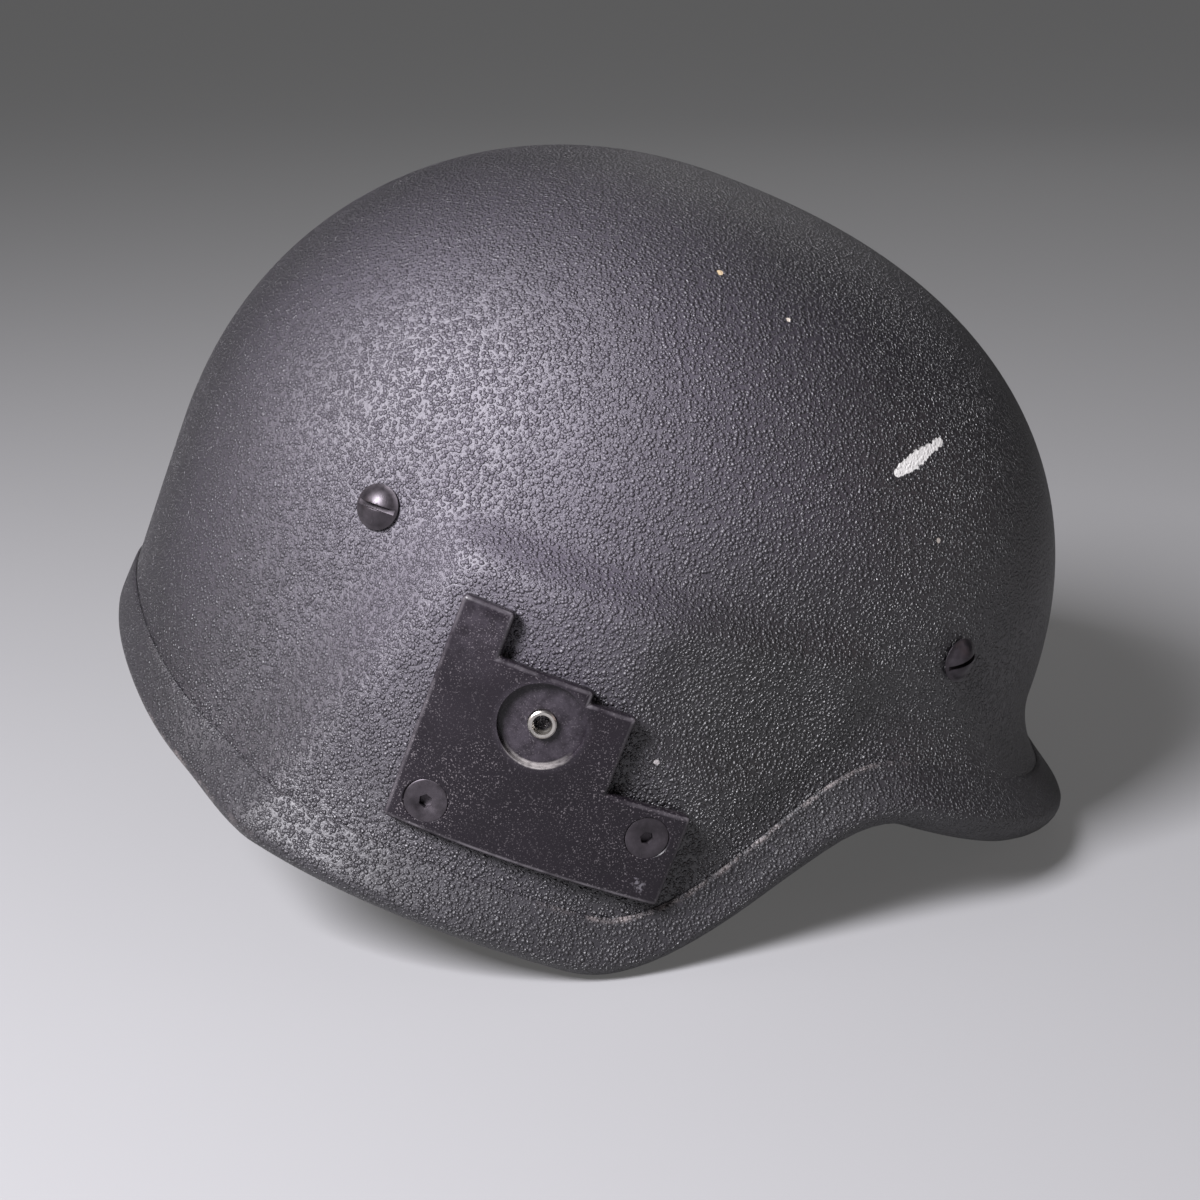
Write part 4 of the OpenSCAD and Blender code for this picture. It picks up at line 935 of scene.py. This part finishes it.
def on_cover(piece, points):
    """The nearest places on a piece's surface to a list of points, and the normals there."""
    found = [piece.closest_point_on_mesh(point) for point in points]
    return [place for _, place, _, _ in found], [normal for _, _, normal, _ in found]


def even(points, spacing):
    """Points at an even spacing along an open chain."""
    result, carry = [points[0]], 0.0
    for first, second in zip(points, points[1:]):
        length = (second - first).length
        while length > 0 and carry + length >= spacing:
            first = first.lerp(second, (spacing - carry) / length)
            result.append(first)
            length, carry = (second - first).length, 0.0
        carry += length
    return result


def stitches(points, size=0.0004):
    """Sewn thread: a small rounded stitch between each two points of a chain."""
    bpy.ops.mesh.primitive_uv_sphere_add(segments=6, ring_count=5, radius=1)
    pattern, threads = bpy.context.object, []
    for a, b in zip(points, points[1:]):
        thread = copy_of(pattern, "thread")
        turn = (b - a).to_track_quat("Z", "Y").to_matrix().to_4x4()
        shape = Matrix.Diagonal((size, size, (b - a).length * 0.43, 1))
        thread.data.transform(Matrix.Translation((a + b) / 2) @ turn @ shape)
        threads.append(thread)
    bpy.data.objects.remove(pattern)
    piece = joined(threads)
    smooth(piece)
    return piece


def leather(name, shade, roughness, pebble):
    """Pebbled hide, with painted shade in its creases."""
    material, shader = new_material(name, shade, roughness)
    place = object_place(shader)
    cells = add_node(place, "ShaderNodeTexVoronoi", {"Vector": place}, Scale=pebble,
                     feature="DISTANCE_TO_EDGE")
    pebble_relief_and_crease_shade = ramp(cells.outputs["Distance"], (0.0, 0.0), (0.16, 1.0))
    cloud = noise(place, 60.0, 5.0)
    # Painted shade: the hide is darkened in the creases between its pebbles.
    colour = mix(pebble_relief_and_crease_shade, tint(shade, 0.5), mix(cloud, tint(shade, 0.6), tint(shade, 1.45)))
    paint_with(shader, colour, ramp(cloud, (0.3, roughness * 0.8), (0.7, roughness * 1.3)))
    bump(shader, plus(times(pebble_relief_and_crease_shade, 0.6), noise(place, 90.0, 4.0)), 0.6, 0.0003)
    return material


def thread_material(name, shade):
    """Twisted thread."""
    material, shader = new_material(name, shade, 0.7)
    twist = noise(object_place(shader), 2600.0, 2.0)
    paint_with(shader, mix(twist, tint(shade, 0.5), tint(shade, 1.3)))
    bump(shader, twist, 0.6, 0.0001)
    return material


sweat_leather = leather("sweat_leather", (0.17, 0.092, 0.052), 0.5, 1100.0)
thread_tan = thread_material("tan_thread", (0.34, 0.25, 0.16))

# Each cover: its node, body, oval, turns, low and high edge, hem, swell and the shape of its ends
covers = (
    ("sweatband", "helmet", (0.005, 0.104, 0.082), (-84, 84), 0.060, 0.096, 0.0006, 0.0036, 12, 0.4),
    ("nape_pad", "nape", (-0.046, 0.042, 0.0799), (128, 232), 0.058, 0.090, 0.0008, 0.0046, 8, 0.3),
)
for node, body, *sizes in covers:
    cover, held, seams = cushion(*sizes)
    puffed(cover, 0.0006, held)
    rows = []
    for seam in (seams[0::2], seams[1::2]):
        places, ups = on_cover(cover, even(seam[2:-2], 0.0034))
        rows.append(stitches([place + up * 0.0001 for place, up in zip(places, ups)]))
    sewing = joined(rows)
    finish_piece(sewing, node + "_stitches", thread_tan, "sweat_leather", body)
    finish_piece(cover, node + "_cover", sweat_leather, "sweat_leather", body, node)

# Foam pads in the dome: knitted covers over foam, puffed by the same simulation, each with a
# sewn welt round its edge. The left pad is the right one mirrored.
pad_z0, pad_z1, welt_depth = 0.110, 0.1485, 0.01495
crown_r, crown_depth = 0.042, 0.0082


def knitted(name, shade, stitch):
    """Knitted cloth: rows of loops on object coordinates, with lint."""
    material, shader = new_material(name, shade, 0.85)
    shader.inputs["Sheen Weight"].default_value = 0.3
    place = object_place(shader)
    rows = [add_node(place, "ShaderNodeTexWave", {"Vector": place}, Scale=scale, Distortion=1.5, Detail=1.0,
                     bands_direction=way) for scale, way in ((stitch, "Y"), (stitch * 1.15, "DIAGONAL"))]
    loops = times(rows[0].outputs["Fac"], rows[1].outputs["Fac"])
    cloud = noise(place, 50.0, 4.0)
    colour = mix(cloud, mix(loops, tint(shade, 0.45), tint(shade, 1.5)), tint(shade, 0.9))
    colour = mix(ramp(noise(place, 1300.0, 2.0), (0.68, 0.0), (0.74, 0.5)), colour, (0.16, 0.15, 0.14))
    paint_with(shader, colour, ramp(cloud, (0.3, 0.75), (0.7, 0.95)))
    bump(shader, loops, 0.7, 0.0004)
    return material


pad_fabric = knitted("pad_fabric", (0.050, 0.050, 0.056), 240.0)
welt_fabric = knitted("welt_fabric", (0.032, 0.032, 0.036), 420.0)


def pad_path(angle, half):
    """Closed chain a little in from the outline of a dome pad, whose corners are well rounded."""
    points = []
    for k in range(120):
        turn = math.tau * k / 120
        across, up = math.cos(turn), math.sin(turn)
        r = (abs(across) ** 7 + abs(up) ** 7) ** (-1 / 7)
        across, up = r * across, r * up
        z = (pad_z0 + pad_z1) / 2 + (pad_z1 - pad_z0) / 2 * up * (1 - 0.1 * abs(across) ** 3)
        points.append(stance @ on_wall(angle + half * across * (1 - 0.12 * abs(up) ** 3), z, -welt_depth))
    return points


def between(chain, weight):
    """A closed chain with each member drawn towards its two neighbours."""
    count = len(chain)
    return [(chain[k - 1] + chain[k] * 2 + chain[(k + 1) % count]) * weight for k in range(count)]


def tube(points, ups, r):
    """Round tube through a closed chain of points."""
    rings = []
    for index, (point, up) in enumerate(zip(points, ups)):
        along = (points[(index + 1) % len(points)] - points[index - 1]).normalized()
        u = (up - along * up.dot(along)).normalized()
        v = along.cross(u)
        turns = [math.pi * k / 4 for k in range(8)]
        rings.append([point + (u * math.cos(turn) + v * math.sin(turn)) * r for turn in turns])
    piece = ring_mesh(rings)
    smooth(piece)
    return piece


def pad_piece(node, path):
    """A puffed pad and its welt; path is a closed chain near its edge."""
    cover = copy_of(nodes[node], node + "_cover")
    clean(cover, 0.00002)
    apply_modifier(cover, "REMESH", mode="VOXEL", voxel_size=0.0045)
    normals = [vertex.normal.copy() for vertex in cover.data.vertices]
    for vertex, normal in zip(cover.data.vertices, normals):
        vertex.co -= normal * 0.0008
    puffed(cover, 0.0016)
    places, ups = on_cover(cover, path)
    for _ in range(3):
        places, ups = between(places, 0.25), [up.normalized() for up in between(ups, 1.0)]
    welt = tube([place - up * 0.0004 for place, up in zip(places, ups)], ups, 0.0011)
    finish_piece(welt, node + "_welt", welt_fabric, "pad_fabric", "helmet")
    finish_piece(cover, node + "_cover", pad_fabric, "pad_fabric", "helmet", node)
    return cover, welt


for node, angle, half in (("front_pad", 0, 34), ("rear_pad", 180, 38), ("right_pad", -90, 32)):
    cover, welt = pad_piece(node, pad_path(angle, half))
mirrored(cover, "left_pad_cover", "pad_fabric", "helmet", "left_pad")
mirrored(welt, "left_pad_welt", "pad_fabric", "helmet")
crown = Vector((crown_shift, 0, crown_z - shell_t - crown_depth))
pad_piece("crown_pad", [stance @ (crown + polar(math.tau * k / 120, crown_r)) for k in range(120)])

# Hook tape: a patch on the shell under each side pad, covered with rows of small hooks.
hook_tape, hook_shader = new_material("hook_tape", (0.055, 0.055, 0.060), 0.7)
place = object_place(hook_shader)
hooks = add_node(place, "ShaderNodeTexVoronoi", {"Vector": place}, Scale=900.0, Randomness=0.25)
hooks = hooks.outputs["Distance"]
colour = mix(hooks, (0.10, 0.10, 0.105), (0.022, 0.022, 0.025))
paint_with(hook_shader, colour, ramp(noise(place, 120.0), (0.3, 0.55), (0.7, 0.8)))
bump(hook_shader, hooks, -0.9, 0.0005)
tape_z, tape_half_h, tape_half_turn, tape_out = 0.1275, 0.0100, 15, -shell_t - 0.0014
patches = []
for angle in (0, 180, -90, 90):
    bpy.ops.mesh.primitive_grid_add(x_subdivisions=20, y_subdivisions=16, size=1)
    patch = bpy.context.object
    for vertex in patch.data.vertices:
        across, up = vertex.co.x * 2, vertex.co.y * 2
        turn = angle + tape_half_turn * across * (1 - 0.03 * up ** 8)
        vertex.co = on_wall(turn, tape_z + tape_half_h * up * (1 - 0.04 * across ** 8), tape_out)
    bpy.ops.object.mode_set(mode="EDIT")
    bpy.ops.mesh.select_all(action="SELECT")
    bpy.ops.mesh.extrude_region_shrink_fatten(TRANSFORM_OT_shrink_fatten={"value": 0.0011})
    bpy.ops.object.mode_set(mode="OBJECT")
    clean(patch)
    patches.append(patch)
tape = joined(patches)
place_mesh(tape, stance)
smooth(tape, 40)
finish_piece(tape, "hook_tape_patches", hook_tape, "hook_fabric", "helmet", "pad_hooks")

# Chin strap: woven webbing riveted to the eyelet plates, with stitched ends. It is drawn in the
# loop's own plane, u from the pivots to the chin and v across it, and then swung into place. The
# swing, the run's angle and its length are those of the strap's solids.
swing_z, swing_lift = 0.033, math.radians(5.845119989)
loop = stance @ Matrix.Translation((0, 0, swing_z)) @ Matrix.Rotation(-swing_lift, 4, "Y")
web_w, web_t, web_y = 0.019, 0.0016, -0.106119
run_from, run_a, run_len = Vector((0.016, web_y, 0)), math.radians(45.54738), 0.082819
run_along, run_side = polar(run_a), polar(run_a + math.pi / 2)
bend_end = 0.0025


def band_ring(point, side, width, thick, powers, steps, thin=0.0):
    """Section of a flat band: its corners are rounded by two powers, its edges may be thinner."""
    ring = []
    for k in range(steps):
        turn = math.tau * k / steps
        across, deep = (math.copysign(abs(value) ** power, value)
                        for value, power in zip((math.cos(turn), math.sin(turn)), powers))
        deep *= thick * (1 - thin * abs(across) ** 6)
        ring.append(point + Vector((0, 0, across * width / 2)) + side * deep / 2)
    return ring


def webbing(points, name, body, node, matrix):
    """Webbing along a chain of points in the loop's plane, with flat faces and round edges."""
    rings = []
    for index, point in enumerate(points):
        along = (points[min(index + 1, len(points) - 1)] - points[max(index - 1, 0)]).normalized()
        width = web_w - 0.0003 + 0.00012 * math.sin(index * 1.7)
        rings.append(band_ring(point, Vector((-along.y, along.x, 0)), width, web_t, (0.35, 0.6), 20))
    piece = lofted(rings)
    place_mesh(piece, matrix)
    smooth(piece)
    finish_piece(piece, name, web_cloth, "webbing", body, node)


def on_run(s, up=0.0):
    """Point on the straight run of the strap."""
    return run_from + run_along * s + Vector((0, 0, up))


def from_end(length):
    """Chain from the eyelet plate, round the fork and along the run."""
    points = [Vector((0.007 + 0.0015 * k, web_y, 0)) for k in range(5)]
    start, end = Vector((0.0135, web_y, 0)), on_run(bend_end)
    for t in (0.0, 0.25, 0.5, 0.75, 1.0):
        points.append(start * (1 - t) ** 2 + run_from * 2 * t * (1 - t) + end * t * t)
    count = max(2, round((length - bend_end) / 0.003))
    return points + [on_run(bend_end + (length - bend_end) * k / count) for k in range(1, count + 1)]


web_cloth, web_shader = new_material("woven_nylon", (0.030, 0.030, 0.034), 0.6)
uv = add_node(web_shader, "ShaderNodeTexCoord").outputs["UV"]
weave = add_node(uv, "ShaderNodeTexBrick", {"Vector": uv}, Scale=1.0, Brick_Width=1.7, Row_Height=0.85,
                 Mortar_Size=0.13, Mortar_Smooth=1.0, Mortar=(0.007, 0.007, 0.008, 1),
                 Color1=(0.040, 0.040, 0.046, 1), Color2=(0.026, 0.026, 0.030, 1))
place = object_place(web_shader)
fuzz = ramp(noise(place, 900.0), (0.62, 0.0), (0.75, 0.5))
colour = mix(fuzz, weave.outputs["Color"], (0.10, 0.10, 0.10))
paint_with(web_shader, colour, ramp(noise(place, 160.0), (0.3, 0.45), (0.7, 0.7)))
fibres = sums("SUBTRACT", noise(place, 1600.0, 2.0), times(weave.outputs["Fac"], 1.6))
bump(web_shader, fibres, 0.8, 0.00022)
thread_black = thread_material("black_thread", (0.060, 0.060, 0.066))
thread_gold = thread_material("chin_thread", (0.10, 0.085, 0.075))


def strap_sewing(name, body, s0, s1):
    """A sewn square with a cross, on both faces of a strap, between two places on its run."""
    half = 0.0066
    a, b, c, d = on_run(s0, -half), on_run(s1, -half), on_run(s1, half), on_run(s0, half)
    parts = []
    for side in (-1, 1):
        face = run_side * side * (web_t / 2)
        for line in ([a, b, c, d, a], [a, c], [b, d]):
            parts.append(stitches([point + face for point in even(line, 0.0024)], 0.00028))
    sewing = joined(parts)
    place_mesh(sewing, loop)
    finish_piece(sewing, name, thread_black, "webbing", body)
    return sewing


upper_len, lower_from, lower_len, left_len = 0.017, 0.0473, 0.0465, 0.1148
lower_run = [on_run(lower_from + lower_len * k / 16) for k in range(17)]
webbing(from_end(upper_len), "strap_webbing_upper_right", "chin_strap", "strap_upper_right", loop)
webbing(lower_run, "strap_webbing_lower_right", "buckle_half", "strap_lower_right", loop)
strap_sewing("strap_sewing_lower", "buckle_half", lower_from + 0.0072, lower_from + 0.0192)
webbing(from_end(left_len), "strap_webbing_left", "chin_strap", "strap_left", mirror @ loop)
upper_sewing = strap_sewing("strap_sewing_upper", "chin_strap", 0.003, 0.0105)
mirrored(upper_sewing, "strap_sewing_left", "webbing", "chin_strap")

rivet_profile = ((0.0, -0.0030), (0.0012, -0.0030), (0.0012, 0.0), (0.0023, 0.0), (0.0023, 0.0003),
                 (0.0018, 0.0008), (0.0010, 0.0010), (0.0, 0.00105))
inward = Matrix.Rotation(-math.pi / 2, 4, "X")
rivet_u, rivet_apart = 0.0118, 0.010
rivets = []
for up in (-rivet_apart / 2, rivet_apart / 2):
    cap = turned(rivet_profile, 24)
    place_mesh(cap, loop @ Matrix.Translation((rivet_u, web_y + web_t / 2, up)) @ inward)
    rivets.append(cap)
caps = joined(rivets)
smooth(caps, 40)
finish_piece(caps, "strap_rivets_right", plated, "anchor_steel", "chin_strap")
mirrored(caps, "strap_rivets_left", "anchor_steel", "chin_strap")

# Chin cup: a soft leather sleeve over foam, round in front, with a pocket for the webbing at
# each end and stitches along its edges and across the ends of the pockets.
wing_u, wing_y, wing_len, cup_h, cup_t = 0.074, 0.047, 0.036, 0.024, 0.005
wing = polar(math.radians(45))
tip = Vector((wing_u, -wing_y, 0)) + wing * wing_len
cup_centre = Vector((tip.x + tip.y, 0, 0))
cup_r, cup_half = (tip - cup_centre).length, math.degrees(math.atan2(-tip.y, tip.x - cup_centre.x))


def cup_point(share):
    """Point and outward side of the cup's middle line, share -1 at the right end and 1 at the left."""
    arc = cup_r * math.radians(cup_half)
    reach = abs(share) * (wing_len + arc)
    if reach < arc:
        out = polar(reach / cup_r * math.copysign(1, share))
        return cup_centre + out * cup_r, out
    point, out = tip - wing * (reach - arc), Vector((wing.y, -wing.x, 0))
    return (mirror @ point, mirror @ out) if share > 0 else (point, out)


def cup_ring(share):
    """Section of the cup: a soft pad, a little thinner at its upper and lower edges."""
    point, out = cup_point(share)
    thick = cup_t * (0.86 + 0.14 * (1 - min(1, abs(share)) ** 60) ** 0.5)
    return band_ring(point, out, cup_h, thick, (0.5, 0.45), 36, 0.12)


def cup_stitches(shares, levels, face, spacing):
    """A row of stitches over one face of the cup."""
    line = []
    for share, level in zip(shares, levels):
        point, out = cup_point(share)
        line.append(point + out * face * cup_t + Vector((0, 0, level)))
    return stitches(even(line, spacing), 0.00036)


cup = lofted([cup_ring(-0.9995 + 1.999 * k / 96) for k in range(97)])
pocket_at = Matrix.Translation(on_run(run_len + 0.017)) @ Matrix.Rotation(run_a, 4, "Z")
for matrix in (pocket_at, mirror @ pocket_at):
    bpy.ops.mesh.primitive_cube_add(size=1)
    pocket = bpy.context.object
    place_mesh(pocket, matrix @ Matrix.Diagonal((0.036, web_t + 0.0006, web_w + 0.0006, 1)))
    cut_with(cup, pocket)
length = [-0.985 + 1.97 * k / 159 for k in range(160)]
height = [-0.0095 + 0.019 * k / 12 for k in range(13)]
rows = []
for side in (-1, 1):
    rows += [cup_stitches(length, [level] * 160, side * 0.46, 0.0033) for level in (-0.0103, 0.0103)]
    rows += [cup_stitches([share] * 13, height, side * 0.49, 0.0030) for share in (-0.55, 0.55)]
sewing = joined(rows)
place_mesh(sewing, loop)
finish_piece(sewing, "chin_cup_stitches", thread_gold, "chin_leather", "chin_strap")
place_mesh(cup, loop)
smooth(cup, 50)
chin_leather = leather("chin_leather", (0.048, 0.040, 0.036), 0.45, 1300.0)
finish_piece(cup, "chin_cup_sleeve", chin_leather, "chin_leather", "chin_strap", "chin_cup")
